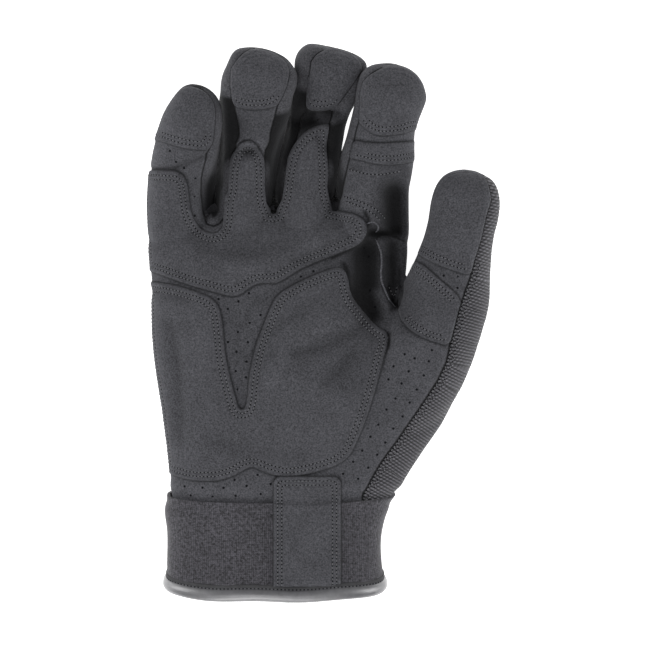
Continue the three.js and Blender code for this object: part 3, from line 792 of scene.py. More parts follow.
def palm_reading(points):
    """The same for the palm's rows."""
    rows = np.array(PALM, float)
    v = SHEET_V - points[:, 1] / UNIT
    for _ in range(2):
        slope = np.interp(v, rows[:, 0], rows[:, 5])
        height = np.interp(v, rows[:, 0], rows[:, 3]) * MM
        v = SHEET_V - (points[:, 1] + slope * (points[:, 2] - height)) / UNIT
    left = (np.interp(v, rows[:, 0], rows[:, 1]) - SHEET_U) * UNIT
    right = (np.interp(v, rows[:, 0], rows[:, 2]) - SHEET_U) * UNIT
    thick = np.interp(v, rows[:, 0], rows[:, 4]) * MM
    p = (points[:, 0] - (left + right) / 2) / ((right - left) / 2)
    q = (points[:, 2] - height) / thick
    ratio = (np.abs(p) ** PALM_POWER + np.abs(q) ** PALM_POWER) ** (1 / PALM_POWER)
    beyond = np.maximum(rows[0, 0] - v, 0.0) * UNIT / 0.006
    return np.hypot(ratio, beyond), p, q, v


def add_field(mesh, name, values, kind="FLOAT"):
    field = mesh.attributes.new(name, kind, "POINT")
    if kind == "FLOAT":
        field.data.foreach_set("value", np.ascontiguousarray(values, dtype=np.float32))
    else:
        field.data.foreach_set("vector", np.ascontiguousarray(values, dtype=np.float32).ravel())


def wandering(points, scale):
    """A slow, even wandering of a value over space, from a few crossed waves."""
    x, y, z = (points[:, k] / scale for k in range(3))
    return (
        np.sin(1.7 * x + 2.3 * np.sin(0.9 * y) + 0.6 * z) + np.sin(1.3 * y - 1.1 * x + 1.9)
        + 0.7 * np.sin(2.6 * x + 1.4 * y + 2.1 * np.sin(0.7 * x - z))
        + 0.6 * np.sin(3.1 * y + 0.8 * x + 4.0 + z)
    ) / 3.3


def build_hand_form(sizes):
    forms = [finger_form(name) for name in FINGER_NAMES] + [palm_form()]
    mesh = one_skin(join_forms("hand_form", forms), sizes.cloth_cell)
    pairs = edge_pairs(mesh)
    points = relaxed(coordinates(mesh), pairs, 5)
    readings = []
    for name in FINGER_NAMES:
        moved = points.copy()
        moved[:, 0] -= spread_at(name, points[:, 1])
        readings.append(finger_reading(name, moved))
    palm_rho, palm_p, palm_q, palm_v = palm_reading(points)
    rho = np.column_stack([r[0] for r in readings] + [palm_rho])
    form = np.argmin(rho, axis=1)
    p = np.choose(form, [r[1] for r in readings] + [palm_p])
    q = np.choose(form, [r[2] for r in readings] + [palm_q])
    for i, name in enumerate(FINGER_NAMES):
        own = form == i
        points[own, 0] -= spread_at(name, points[own, 1])
    sheet = sheet_points(points)
    q_soft = relaxed(q, pairs, 6)

    # The palm-side suede: how far inside its seams, in metres.
    body = inside_distance(sheet, BODY_SEAM) * UNIT
    plan = body.copy()
    for i, name in enumerate(FINGER_NAMES):
        own = inside_distance(sheet, SEAMS[name]) * UNIT
        use = (form == i) | (form == PALM_FORM)
        plan = np.where(use, np.maximum(plan, own), plan)
    lowest = np.full(len(points), -0.15)
    is_form = {name: form == i for i, name in enumerate(FINGER_NAMES)}
    lowest = np.where(is_form["index"] & (p > 0), -0.25, lowest)
    lowest = np.where(is_form["thumb"] & (p < 0), -0.5, lowest)
    lowest = np.where(is_form["little"] & (p < 0), 0.02, lowest)
    palm_side = is_form["little"] | (form == PALM_FORM)
    lowest = np.where(palm_side & (sheet[:, 0] < 190), -0.02, lowest)
    lowest = relaxed(lowest, pairs, 12)
    depth = (q_soft - lowest) * SECTION_UP
    suede = relaxed(np.minimum(plan, depth), pairs, 2)

    # Folds and hollows on the upper side with their painted shade and light, the seam grooves and a slow
    # wandering.
    set_coordinates(mesh, points)
    normals = soft_normals(mesh, pairs)
    push = np.zeros(len(points))
    crease = np.zeros(len(points))
    above = smoothstep(-0.25, 0.25, q_soft)
    is_form["palm"] = form == PALM_FORM

    def owner_of(names):
        return np.any([is_form[name] for name in names], axis=0)

    # push bends the surface; crease carries the painted shade of the folds and the painted light of raised
    # ones.
    for names, line, spread, depth_mm in FOLDS:
        owner = owner_of(names)
        distance, _ = line_distance(sheet, line)
        amount = np.where(owner, depth_mm * MM * np.exp(-(distance / spread) ** 2) * above, 0.0)
        push -= amount
        crease -= amount * min(1.0, 6.0 / spread)
    groove = np.exp(-(suede / 0.0012) ** 2)
    push = relaxed(push, pairs, 3)
    crease = relaxed(crease, pairs, 3)
    beyond = -np.maximum(inside_distance(sheet, rounded(PATCHES["upper_palm_patch"])),
                         inside_distance(sheet, rounded(PATCHES["lower_palm_patch"])))
    beside = smoothstep(-1.0, 2.6, beyond)
    sink = hollow_depth(sheet, above, owner_of)
    sink = relaxed(np.where(is_form["palm"] | is_form["thumb"] | (sheet[:, 1] > 205),
                            sink * beside, sink), pairs, 5)
    points[:, 2] -= sink
    # Painted shade of the folds and hollows and painted light on raised folds: shade for the overlays,
    # panel_shade for the palm panel.
    upper = smoothstep(0.0, 0.4, q_soft)
    shade = np.clip(1.0 + FOLD_SHADE * crease - OVERLAY_HOLLOW_SHADE * sink * upper, *SHADE_LIMITS)
    deep = relaxed(hollow_depth(sheet, above, owner_of, 1.12), pairs, 4)
    panel_shade = 1.0 + FOLD_SHADE * crease - PANEL_HOLLOW_SHADE * deep * upper
    panel_shade = np.clip(panel_shade, *SHADE_LIMITS)
    # Painted shadows along the SHADOW_LINES on the palm panel.
    for line, width, darkness in SHADOW_LINES:
        distance, _ = line_distance(sheet, line)
        panel_shade *= 1.0 - darkness * np.exp(-(distance / width) ** 2) * above
    push -= sizes.seam_depth * groove
    push += 0.00016 * wandering(points, 0.010) + 0.00007 * wandering(points + 0.05, 0.0042)
    points = points + normals * push[:, None]
    points[:, 2] = np.maximum(points[:, 2], 0.00035)
    points = relaxed(points, pairs, 1, 0.3)
    set_coordinates(mesh, points)
    normals = soft_normals(mesh, pairs)
    sheet = sheet_points(points)

    overlays = {}
    any_overlay = np.full(len(points), -1.0)
    for name, outline in PATCHES.items():
        reach = inside_distance(sheet, rounded(outline)) * UNIT
        reach = np.minimum(reach, np.minimum(suede - 0.0001, (q_soft - 0.02) * SECTION_UP))
        reach = np.where(owner_of(PATCH_FORMS[name]), reach, -FAR_OUTSIDE)
        overlays[name] = relaxed(reach, pairs, 1)
        any_overlay = np.maximum(any_overlay, overlays[name])

    # Side strips: beyond the seam on the inner side of a finger, down to under its middle.
    strips = {}
    any_strip = np.full(len(points), -1.0)
    for name, (owner_name, way) in SIDE_STRIPS.items():
        side = (p * way - 0.18) * SECTION_SIDE
        reach = np.minimum(np.minimum(-suede, side), (q_soft + 0.62) * SECTION_UP)
        reach = np.minimum(reach, (228.0 - sheet[:, 1]) * UNIT)
        owner = is_form[owner_name]
        if name == "ring_outer_side_strip":
            web = (sheet[:, 0] > 202) & (sheet[:, 0] < 226) & (sheet[:, 1] > 200)
            owner = owner | (is_form["palm"] & web)
        reach = np.where(owner, reach, -FAR_OUTSIDE)
        strips[name] = relaxed(reach, pairs, 1)
        any_strip = np.maximum(any_strip, strips[name])

    wrist = (501.5 - palm_v) * UNIT
    _, rib_run = line_distance(sheet, THUMB_SEAM_LINE, past_ends=True)
    thumb_side = np.minimum(
        inside_distance(sheet, [(352, 560), (340, 400), (398, 262), (410, 140), (540, 140),
                                (540, 560)]) * UNIT, 1.0)
    # Painted shade at the floor of each gap between two fingers.
    slot = np.ones(len(points))
    for line, width in SLOT_ENDS:
        distance, _ = line_distance(sheet, line)
        near = np.exp(-(distance / width) ** 2) * smoothstep(-0.9, -0.4, q_soft)
        slot = np.minimum(slot, 1.0 - 0.95 * near)
    # The back cloth that faces up between two fingers gets painted shade.
    shelf = np.zeros(len(points))
    for owner_name, way in SIDE_STRIPS.values():
        shelf = np.where(is_form[owner_name] & (p * way > 0.12), 1.0, shelf)
    shelf = relaxed(shelf, pairs, 2) * smoothstep(-0.15, 0.2, normals[:, 2])
    shelf *= smoothstep(91.0, 101.0, sheet[:, 1])
    workshop.update({
        "v": sheet[:, 1], "slot": slot, "back_slot": slot * (1.0 - 0.9 * shelf),
        "panel_shade": panel_shade,
        "mesh": mesh, "normals": normals, "suede": suede, "overlays": overlays,
        "any_overlay": any_overlay, "strips": strips, "any_strip": any_strip, "wrist": wrist,
        "q": q_soft, "shade": shade, "rib_run": rib_run * UNIT, "thumb_side": thumb_side,
    })


def hollow_depth(sheet, above, owner_of, widen=1.0):
    """How far the deep hollows sink a place."""
    sink = np.zeros(len(sheet))
    for names, line, spread, depth_mm in HOLLOWS:
        distance, _ = line_distance(sheet, line)
        amount = depth_mm * MM * np.exp(-(distance / spread / widen) ** 2) * above
        sink = np.maximum(sink, np.where(owner_of(names), amount, 0.0))
    return sink


def cut_from_form(fields, cut, keep_margin=0.003):
    """A bmesh of the form's skin where the field named cut is positive, with fields on it."""
    mesh = workshop["mesh"].copy()
    for name, values in fields.items():
        add_field(mesh, name, values, "FLOAT" if values.ndim == 1 else "FLOAT_VECTOR")
    bm = bmesh.new()
    bm.from_mesh(mesh)
    bpy.data.meshes.remove(mesh)
    layer = bm.verts.layers.float[cut]
    far = [vert for vert in bm.verts if vert[layer] < -keep_margin]
    bmesh.ops.delete(bm, geom=far, context="VERTS")
    trim(bm, layer)
    return bm


def trim(bm, layer):
    """Splits the faces along the zero line of a field and drops the negative side."""
    crossing = [e for e in bm.edges if (e.verts[0][layer] > 0.0) != (e.verts[1][layer] > 0.0)]
    on_line = []
    for edge in crossing:
        a, b = edge.verts
        share = a[layer] / (a[layer] - b[layer])
        share = min(max(share, 0.04), 0.96)
        _, vert = bmesh.utils.edge_split(edge, a, share)
        vert[layer] = 0.0
        on_line.append(vert)
    bmesh.ops.connect_verts(bm, verts=on_line)
    drop = []
    for face in bm.faces:
        total = sum(vert[layer] for vert in face.verts)
        if total <= 0.0:
            drop.append(face)
    bmesh.ops.delete(bm, geom=drop, context="FACES")
    loose = [vert for vert in bm.verts if not vert.link_faces]
    bmesh.ops.delete(bm, geom=loose, context="VERTS")


def turn_edges_in(bm, depth, steps=2):
    """Draws the open edges of a cloth down along its normals, as a turned edge."""
    normal = bm.verts.layers.float_vector["outward"]
    border = [edge for edge in bm.edges if edge.is_boundary]
    for _ in range(steps):
        drawn = bmesh.ops.extrude_edge_only(bm, edges=border)["geom"]
        fresh = [item for item in drawn if isinstance(item, bmesh.types.BMVert)]
        fresh_set = set(fresh)
        for vert in fresh:
            vert.co -= vert[normal].normalized() * (depth / steps)
        border = [
            item for item in drawn if isinstance(item, bmesh.types.BMEdge)
            and item.verts[0] in fresh_set and item.verts[1] in fresh_set
        ]


def finish_piece(bm, name, material, nodes=(), keep=(), recalc=False):
    """Turns a bmesh into a finished piece that rides on the body."""
    if recalc:
        bmesh.ops.recalc_face_normals(bm, faces=list(bm.faces))
    mesh = bpy.data.meshes.new(name)
    bm.to_mesh(mesh)
    bm.free()
    for attribute in list(mesh.attributes):
        if attribute.is_internal or attribute.is_required:
            continue
        if attribute.name in ("sharp_face", "material_index") or attribute.name in keep:
            continue
        mesh.attributes.remove(attribute)
    mesh.polygons.foreach_set("use_smooth", [True] * len(mesh.polygons))
    mesh.update()
    obj = bpy.data.objects.new(name, mesh)
    bpy.context.scene.collection.objects.link(obj)
    mesh.materials.append(material)
    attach(obj, "root")
    if nodes:
        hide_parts(*nodes)
    return obj


def level_lines(mesh, values, level):
    """Lines on a mesh where a value per vertex meets a level."""
    mesh.calc_loop_triangles()
    corners = np.empty(len(mesh.loop_triangles) * 3, dtype=np.int64)
    mesh.loop_triangles.foreach_get("vertices", corners)
    corners = corners.reshape(-1, 3)
    over = values > level
    count = over[corners].sum(axis=1)
    corners = corners[(count > 0) & (count < 3)]
    points = coordinates(mesh)
    where = {}
    links = {}
    for triangle in corners:
        ends = []
        for i in range(3):
            a, b = int(triangle[i]), int(triangle[(i + 1) % 3])
            if over[a] != over[b]:
                key = (min(a, b), max(a, b))
                if key not in where:
                    share = (level - values[key[0]]) / (values[key[1]] - values[key[0]])
                    where[key] = points[key[0]] * (1 - share) + points[key[1]] * share
                ends.append(key)
        if len(ends) == 2:
            links.setdefault(ends[0], []).append(ends[1])
            links.setdefault(ends[1], []).append(ends[0])
    lines = []
    seen = set()
    starts = [key for key in links if len(links[key]) == 1] + list(links)
    for start in starts:
        if start in seen:
            continue
        chain = [start]
        seen.add(start)
        step = start
        while True:
            following = [key for key in links[step] if key not in seen]
            if not following:
                break
            step = following[0]
            seen.add(step)
            chain.append(step)
        if len(chain) > 4:
            if len(links[start]) == 2 and start in links[chain[-1]]:
                chain.append(start)
            lines.append(np.array([where[key] for key in chain]))
    return lines


def even_steps(line, pitch):
    """Points at even distances along a line."""
    steps = np.linalg.norm(np.diff(line, axis=0), axis=1)
    run = np.concatenate([[0.0], np.cumsum(steps)])
    if run[-1] < pitch * 2:
        return np.empty((0, 3))
    count = max(int(round(run[-1] / pitch)), 2)
    at = np.linspace(0.0, run[-1], count + 1)
    even = np.column_stack([np.interp(at, run, line[:, k]) for k in range(3)])
    smooth = even.copy()
    smooth[1:-1] = even[1:-1] * 0.5 + (even[:-2] + even[2:]) * 0.25
    return smooth


def stitch_row(threads, holes, line, surface, sizes, lift=0.00006):
    """One row of stitches with a needle hole between each two, laid on a surface."""
    points = even_steps(line, sizes.stitch_pitch)
    for i in range(len(points) - 1):
        a, b = Vector(points[i]), Vector(points[i + 1])
        hit, normal, _, _ = surface.find_nearest((a + b) / 2)
        hole_at, hole_up, _, _ = surface.find_nearest(a)
        if hit is None or hole_at is None:
            continue
        along = (b - a).normalized()
        side = normal.cross(along).normalized()
        up = along.cross(side).normalized()
        turn = Matrix((along, side, up)).transposed().to_4x4()
        length, width = (b - a).length, sizes.stitch_width
        shape = Matrix.Diagonal((length * 0.36, width * 0.55, width * 0.40, 1.0))
        threads.append(Matrix.Translation(hit + up * lift) @ turn @ shape)
        # Each needle hole is a flat dark bead: painted shade.
        half = sizes.needle_hole * 0.5
        shape = Matrix.Diagonal((half, half, 0.00007, 1.0))
        holes.append(Matrix.Translation(hole_at + hole_up * 0.00004) @ turn @ shape)


def beads(places, rings):
    """Small round bodies, one for each place, made a few dozen at a time."""
    whole = bmesh.new()
    for start in range(0, len(places), 40):
        few = bmesh.new()
        for spot in places[start:start + 40]:
            bmesh.ops.create_uvsphere(few, u_segments=6, v_segments=rings, radius=1.0, matrix=spot)
        part = bpy.data.meshes.new("few")
        few.to_mesh(part)
        few.free()
        whole.from_mesh(part)
        bpy.data.meshes.remove(part)
    return whole


# Materials


def new_material(name):
    material = bpy.data.materials.new(name)
    material.use_nodes = True
    tree = material.node_tree
    tree.nodes.clear()
    output = tree.nodes.new("ShaderNodeOutputMaterial")
    shader = tree.nodes.new("ShaderNodeBsdfPrincipled")
    tree.links.new(shader.outputs["BSDF"], output.inputs["Surface"])
    return material, tree, shader


def noise(tree, scale, detail=3.0, roughness=0.55, vector=None):
    node = tree.nodes.new("ShaderNodeTexNoise")
    node.inputs["Scale"].default_value = scale
    node.inputs["Detail"].default_value = detail
    node.inputs["Roughness"].default_value = roughness
    if vector is None:
        vector = object_place(tree)
    tree.links.new(vector, node.inputs["Vector"])
    return node.outputs["Fac"]


def object_place(tree):
    for node in tree.nodes:
        if node.type == "TEX_COORD":
            return node.outputs["Object"]
    return tree.nodes.new("ShaderNodeTexCoord").outputs["Object"]


def remap(tree, value, low, high, to_low, to_high):
    node = tree.nodes.new("ShaderNodeMapRange")
    node.inputs["From Min"].default_value = low
    node.inputs["From Max"].default_value = high
    node.inputs["To Min"].default_value = to_low
    node.inputs["To Max"].default_value = to_high
    tree.links.new(value, node.inputs["Value"])
    return node.outputs["Result"]


def arithmetic(tree, operation, first, second):
    node = tree.nodes.new("ShaderNodeMath")
    node.operation = operation
    for socket, value in zip(node.inputs, (first, second)):
        if isinstance(value, (int, float)):
            socket.default_value = value
        else:
            tree.links.new(value, socket)
    return node.outputs["Value"]


def tinted(tree, colour, strength):
    """The colour, made lighter and darker by a strength that varies over the surface."""
    node = tree.nodes.new("ShaderNodeVectorMath")
    node.operation = "SCALE"
    node.inputs[0].default_value = tuple(colour)
    tree.links.new(strength, node.inputs["Scale"])
    return node.outputs["Vector"]


def bump(tree, height, strength, distance, onto=None):
    node = tree.nodes.new("ShaderNodeBump")
    node.inputs["Strength"].default_value = strength
    node.inputs["Distance"].default_value = distance
    tree.links.new(height, node.inputs["Height"])
    if onto is not None:
        tree.links.new(onto, node.inputs["Normal"])
    return node.outputs["Normal"]


def field_value(tree, name):
    node = tree.nodes.new("ShaderNodeAttribute")
    node.attribute_name = name
    return node.outputs["Fac"]


def suede_material(name, colour, shade_field=None, edge_field=None, shade_factor_field=None, nap=1.0,
                   edge_floor=0.06):
    """Napped suede: mottled, dull, with a soft sheen and fine grain; fields can paint shade and light into
    it.
    """
    material, tree, shader = new_material(name)
    grain = noise(tree, 1500.0, 3.0, 0.65)
    fluff = noise(tree, 620.0, 3.0, 0.6)
    cloud = noise(tree, 85.0, 3.0, 0.5)
    strength = remap(tree, grain, 0.3, 0.7, 1.0 - 0.6 * nap, 1.0 + 0.6 * nap)
    second = remap(tree, fluff, 0.3, 0.7, 0.88, 1.12)
    third = remap(tree, cloud, 0.3, 0.7, 0.92, 1.08)
    strength = arithmetic(tree, "MULTIPLY", strength, second)
    strength = arithmetic(tree, "MULTIPLY", strength, third)
    # Painted shade: darker lower down and deeper into the gaps between the fingers.
    if shade_field:
        shade = remap(tree, field_value(tree, shade_field), -0.60, 0.05, 0.10, 1.0)
        strength = arithmetic(tree, "MULTIPLY", strength, shade)
    # Painted shade of folds, hollows and gaps, and painted light on raised folds.
    if shade_factor_field:
        strength = arithmetic(tree, "MULTIPLY", strength, field_value(tree, shade_factor_field))
    # Darker along the edges: a dark seam line on the panel and the strips, and painted shade at the raised
    # edges of the overlays and the tab.
    if edge_field:
        edge = remap(tree, field_value(tree, edge_field), 0.0001, 0.0006, edge_floor, 1.0)
        strength = arithmetic(tree, "MULTIPLY", strength, edge)
    tree.links.new(tinted(tree, colour, strength), shader.inputs["Base Color"])
    rough = remap(tree, fluff, 0.3, 0.7, 0.86, 0.98)
    tree.links.new(rough, shader.inputs["Roughness"])
    shader.inputs["Specular IOR Level"].default_value = 0.18
    shader.inputs["Sheen Weight"].default_value = 0.10
    shader.inputs["Sheen Roughness"].default_value = 0.55
    shader.inputs["Sheen Tint"].default_value = (0.75, 0.76, 0.80, 1.0)
    coarse = bump(tree, fluff, 0.45, 0.00035)
    fine = bump(tree, grain, 0.55, 0.00022, coarse)
    tree.links.new(fine, shader.inputs["Normal"])
    return material


def run_turns(tree, run, pitch):
    """Half a turn for each rib, so that the loops of neighbouring ribs stand between each other."""
    return arithmetic(tree, "MULTIPLY", run, math.pi / pitch)


def ribbed_material(name, colour, run_field, pitch):
    """Ribbed stretch cloth: rounded ribs across a run, each made of fine twisted yarns."""
    material, tree, shader = new_material(name)
    run = field_value(tree, run_field)
    drift = remap(tree, noise(tree, 260.0, 2.0, 0.5), 0.0, 1.0, -0.00022, 0.00022)
    run = arithmetic(tree, "ADD", run, drift)
    wave = arithmetic(tree, "SINE", arithmetic(tree, "MULTIPLY", run, 2 * math.pi / pitch), 0.0)
    rib = remap(tree, wave, -1.0, 1.0, 0.0, 1.0)
    # Each rib is a row of loops, plainest near the seam.
    across = arithmetic(tree, "MULTIPLY", field_value(tree, "seam_run"), 2 * math.pi / 0.0015)
    loops = arithmetic(tree, "SINE", arithmetic(tree, "ADD", across, run_turns(tree, run, pitch)), 0.0)
    near = remap(tree, field_value(tree, "seam_run"), 0.0045, 0.0075, 0.75, 0.30)
    loops = remap(tree, arithmetic(tree, "MULTIPLY", loops, near), -1.0, 1.0, 0.25, 1.75)
    yarn = noise(tree, 1700.0, 3.0, 0.7)
    cloud = noise(tree, 120.0, 3.0, 0.5)
    strength = remap(tree, rib, 0.0, 1.0, 0.24, 1.56)
    strength = arithmetic(tree, "MULTIPLY", strength, remap(tree, yarn, 0.3, 0.7, 0.72, 1.28))
    strength = arithmetic(tree, "MULTIPLY", strength, remap(tree, cloud, 0.3, 0.7, 0.9, 1.1))
    seam = remap(tree, field_value(tree, "seam_run"), 0.0001, 0.0007, 0.1, 1.0)
    strength = arithmetic(tree, "MULTIPLY", strength, seam)
    # Painted shade in the gaps between the fingers.
    strength = arithmetic(tree, "MULTIPLY", strength, field_value(tree, "slot"))
    strength = arithmetic(tree, "MULTIPLY", strength, loops)
    tree.links.new(tinted(tree, colour, strength), shader.inputs["Base Color"])
    tree.links.new(remap(tree, yarn, 0.3, 0.7, 0.72, 0.9), shader.inputs["Roughness"])
    shader.inputs["Specular IOR Level"].default_value = 0.25
    shader.inputs["Sheen Weight"].default_value = 0.12
    shader.inputs["Sheen Roughness"].default_value = 0.5
    ridges = bump(tree, rib, 1.0, 0.0006)
    fine = bump(tree, yarn, 0.5, 0.0002, ridges)
    tree.links.new(fine, shader.inputs["Normal"])
    return material


def knit_material(name, colour):
    """Fine elastic knit: narrow upright courses crossed by closer rows of loops."""
    material, tree, shader = new_material(name)
    uprights = field_value(tree, "round_run")
    rows = field_value(tree, "length_run")
    up_wave = arithmetic(tree, "SINE", arithmetic(tree, "MULTIPLY", uprights, 6283.0 / 0.9), 0.0)
    row_wave = arithmetic(tree, "SINE", arithmetic(tree, "MULTIPLY", rows, 6283.0 / 0.75), 0.0)
    loops = arithmetic(tree, "ADD", up_wave, arithmetic(tree, "MULTIPLY", row_wave, 0.8))
    loops = remap(tree, loops, -1.8, 1.8, 0.0, 1.0)
    yarn = noise(tree, 1000.0, 2.0, 0.6)
    cloud = noise(tree, 70.0, 3.0, 0.5)
    strength = remap(tree, loops, 0.0, 1.0, 0.66, 1.30)
    strength = arithmetic(tree, "MULTIPLY", strength, remap(tree, yarn, 0.3, 0.7, 0.2, 1.8))
    strength = arithmetic(tree, "MULTIPLY", strength, remap(tree, cloud, 0.3, 0.7, 0.92, 1.08))
    tree.links.new(tinted(tree, colour, strength), shader.inputs["Base Color"])
    tree.links.new(remap(tree, yarn, 0.3, 0.7, 0.70, 0.86), shader.inputs["Roughness"])
    shader.inputs["Specular IOR Level"].default_value = 0.28
    shader.inputs["Sheen Weight"].default_value = 0.14
    shader.inputs["Sheen Roughness"].default_value = 0.45
    coarse = bump(tree, loops, 0.5, 0.00025)
    fine = bump(tree, yarn, 0.45, 0.0002, coarse)
    tree.links.new(fine, shader.inputs["Normal"])
    return material


def binding_material(name, colour, gloss=1.0):
    """Smooth coated binding with fine creases and a soft gloss."""
    material, tree, shader = new_material(name)
    crease = noise(tree, 420.0, 4.0, 0.6)
    cloud = noise(tree, 90.0, 2.0, 0.5)
    strength = remap(tree, crease, 0.3, 0.7, 0.8, 1.25)
    tree.links.new(tinted(tree, colour, strength), shader.inputs["Base Color"])
    rough = 0.36 + 0.34 * (1.0 - gloss)
    tree.links.new(remap(tree, cloud, 0.3, 0.7, rough, rough + 0.14), shader.inputs["Roughness"])
    shader.inputs["Specular IOR Level"].default_value = 0.3 + 0.6 * gloss
    shader.inputs["Coat Weight"].default_value = gloss
    shader.inputs["Coat Roughness"].default_value = 0.36
    tree.links.new(bump(tree, crease, 0.35, 0.0003), shader.inputs["Normal"])
    return material


def thread_material(name, colour):
    """Twisted sewing thread with a slight shine."""
    material, tree, shader = new_material(name)
    twist = noise(tree, 2600.0, 2.0, 0.6)
    strength = remap(tree, twist, 0.3, 0.7, 0.75, 1.25)
    tree.links.new(tinted(tree, colour, strength), shader.inputs["Base Color"])
    shader.inputs["Roughness"].default_value = 0.6
    shader.inputs["Specular IOR Level"].default_value = 0.35
    tree.links.new(bump(tree, twist, 0.4, 0.0001), shader.inputs["Normal"])
    return material


def hole_shade_material(name):
    """Painted shade for the inside of a small hole: near black, mottled by fine noise."""
    material, tree, shader = new_material(name)
    lint = noise(tree, 1800.0, 2.0, 0.6)
    strength = remap(tree, lint, 0.3, 0.7, 0.5, 1.5)
    tree.links.new(tinted(tree, (0.006, 0.006, 0.007), strength), shader.inputs["Base Color"])
    shader.inputs["Roughness"].default_value = 0.95
    shader.inputs["Specular IOR Level"].default_value = 0.05
    return material


def floor_material(name, colour):
    """A plain pale studio floor."""
    material, tree, shader = new_material(name)
    cloud = noise(tree, 6.0, 2.0, 0.5)
    strength = remap(tree, cloud, 0.3, 0.7, 0.995, 1.005)
    tree.links.new(tinted(tree, colour, strength), shader.inputs["Base Color"])
    shader.inputs["Roughness"].default_value = 0.9
    shader.inputs["Specular IOR Level"].default_value = 0.1
    shader.inputs["Emission Color"].default_value = (1.0, 1.0, 1.0, 1.0)
    shader.inputs["Emission Strength"].default_value = 0.85
    return material


class GLOVE_OT_hand_form(bpy.types.Operator):
    """Make the form of the relaxed hand that every cloth piece is cut from"""

    bl_idname = "glove.hand_form"
    bl_label = "Hand Form"

    def execute(self, context):
        build_hand_form(context.scene.glove_sizes)
        if len(workshop["mesh"].vertices) < 1000:
            raise RuntimeError("the hand form came out empty")
        return {"FINISHED"}


def inner_face():
    """The inner face of the cloth, seen through the wrist."""
    forms = [finger_form(name, -0.0016, 24) for name in FINGER_NAMES] + [palm_form(-0.0016)]
    mesh = one_skin(join_forms("inner_form", forms), 0.0022)
    points = relaxed(coordinates(mesh), edge_pairs(mesh), 3)
    nearest = np.ones(len(points))
    shifts = np.zeros(len(points))
    for name in FINGER_NAMES:
        away = spread_at(name, points[:, 1])
        rho, _, _ = finger_reading(name, points - np.outer(away, (1, 0, 0)))
        shifts = np.where(rho < nearest, away, shifts)
        nearest = np.minimum(nearest, rho)
    points[:, 0] -= shifts
    above = smoothstep(0.016, 0.022, points[:, 2])
    everywhere = np.ones(len(points), dtype=bool)
    sheet = sheet_points(points)
    sink = hollow_depth(sheet, above, lambda names: everywhere, 1.4)
    for names, line, spread, depth_mm in FOLDS:
        if "palm" in names and depth_mm > 0.5:
            distance, _ = line_distance(sheet, line)
            sink += depth_mm * MM * np.exp(-(distance / spread / 1.3) ** 2) * above
    points[:, 2] -= relaxed(sink * 1.15, edge_pairs(mesh), 3)
    points[:, 2] = np.maximum(points[:, 2], 0.0012)
    _, _, _, v = palm_reading(points)
    set_coordinates(mesh, points)
    add_field(mesh, "wrist", (499.0 - v) * UNIT)
    bm = bmesh.new()
    bm.from_mesh(mesh)
    bpy.data.meshes.remove(mesh)
    trim(bm, bm.verts.layers.float["wrist"])
    bmesh.ops.reverse_faces(bm, faces=list(bm.faces))
    return bm


class GLOVE_OT_palm_panel(bpy.types.Operator):
    """Cut the palm-side suede panel and give it turned edges"""

    bl_idname = "glove.palm_panel"
    bl_label = "Palm Panel"

    def execute(self, context):
        sizes, colours = context.scene.glove_sizes, context.scene.glove_colours
        under = 0.0024 - workshop["any_overlay"]
        cut = np.minimum(np.minimum(workshop["suede"], under), workshop["wrist"])
        edge = np.minimum(workshop["suede"], 0.02)
        # Painted shadow: the panel is darker in a thin line just beside the overlays.
        beside = smoothstep(0.0, 0.0007, -workshop["any_overlay"])
        bm = cut_from_form({
            "cut": cut, "outward": workshop["normals"], "edge": edge,
            "shade": workshop["panel_shade"] * (0.42 + 0.58 * beside),
        }, "cut")
        turn_edges_in(bm, sizes.cloth_thickness)
        suede = suede_material("suede", colours.suede, edge_field="edge", shade_factor_field="shade")
        finish_piece(bm, "palm_panel_suede", suede, ("palm_panel",),
                     keep=("edge", "shade"))
        lining = suede_material("cloth_inner_face", colours.strip, nap=0.6)
        finish_piece(inner_face(), "palm_panel_inner_face", lining)
        return {"FINISHED"}


class GLOVE_OT_back_panel(bpy.types.Operator):
    """Cut the ribbed stretch back, and its thumb side with ribs square to the seam"""

    bl_idname = "glove.back_panel"
    bl_label = "Ribbed Back"

    def execute(self, context):
        sizes, colours = context.scene.glove_sizes, context.scene.glove_colours
        rest = np.minimum(-workshop["suede"], workshop["wrist"]) - 0.00005
        rest = np.minimum(rest, -workshop["any_strip"] - 0.00005)
        points = coordinates(workshop["mesh"])
        # Round the fingertips the ribs climb instead of running on in rings.
        ends = smoothstep(0.25, 0.8, workshop["normals"][:, 1])
        for name, part, run in (
            ("thumb_side_back", workshop["thumb_side"], workshop["rib_run"]),
            ("main_back", -workshop["thumb_side"], -points[:, 1] - points[:, 2] * ends),
        ):
            bm = cut_from_form({
                "cut": np.minimum(rest, part), "outward": workshop["normals"], "rib_run": run,
                "seam_run": -workshop["suede"], "slot": workshop["back_slot"],
            }, "cut")
            if name == "thumb_side_back":
                height = bm.verts.layers.float["rib_run"]
                normal = bm.verts.layers.float_vector["outward"]
                seam = bm.verts.layers.float["seam_run"]
                turn = 2 * math.pi / sizes.rib_pitch
                for vert in bm.verts:
                    flat = min(max((vert[seam] - 0.002) / 0.001, 0.0), 1.0)
                    rise = 0.00007 * math.sin(vert[height] * turn) * flat
                    vert.co += vert[normal] * (rise + 0.0002)
            turn_edges_in(bm, sizes.cloth_thickness)
            cloth = ribbed_material("ribbed_" + name, colours.ribbed, "rib_run", sizes.rib_pitch)
            piece = finish_piece(
                bm, name, cloth, ("back_panel",),
                keep=("rib_run", "seam_run", "slot"))
            workshop[name] = piece
        return {"FINISHED"}


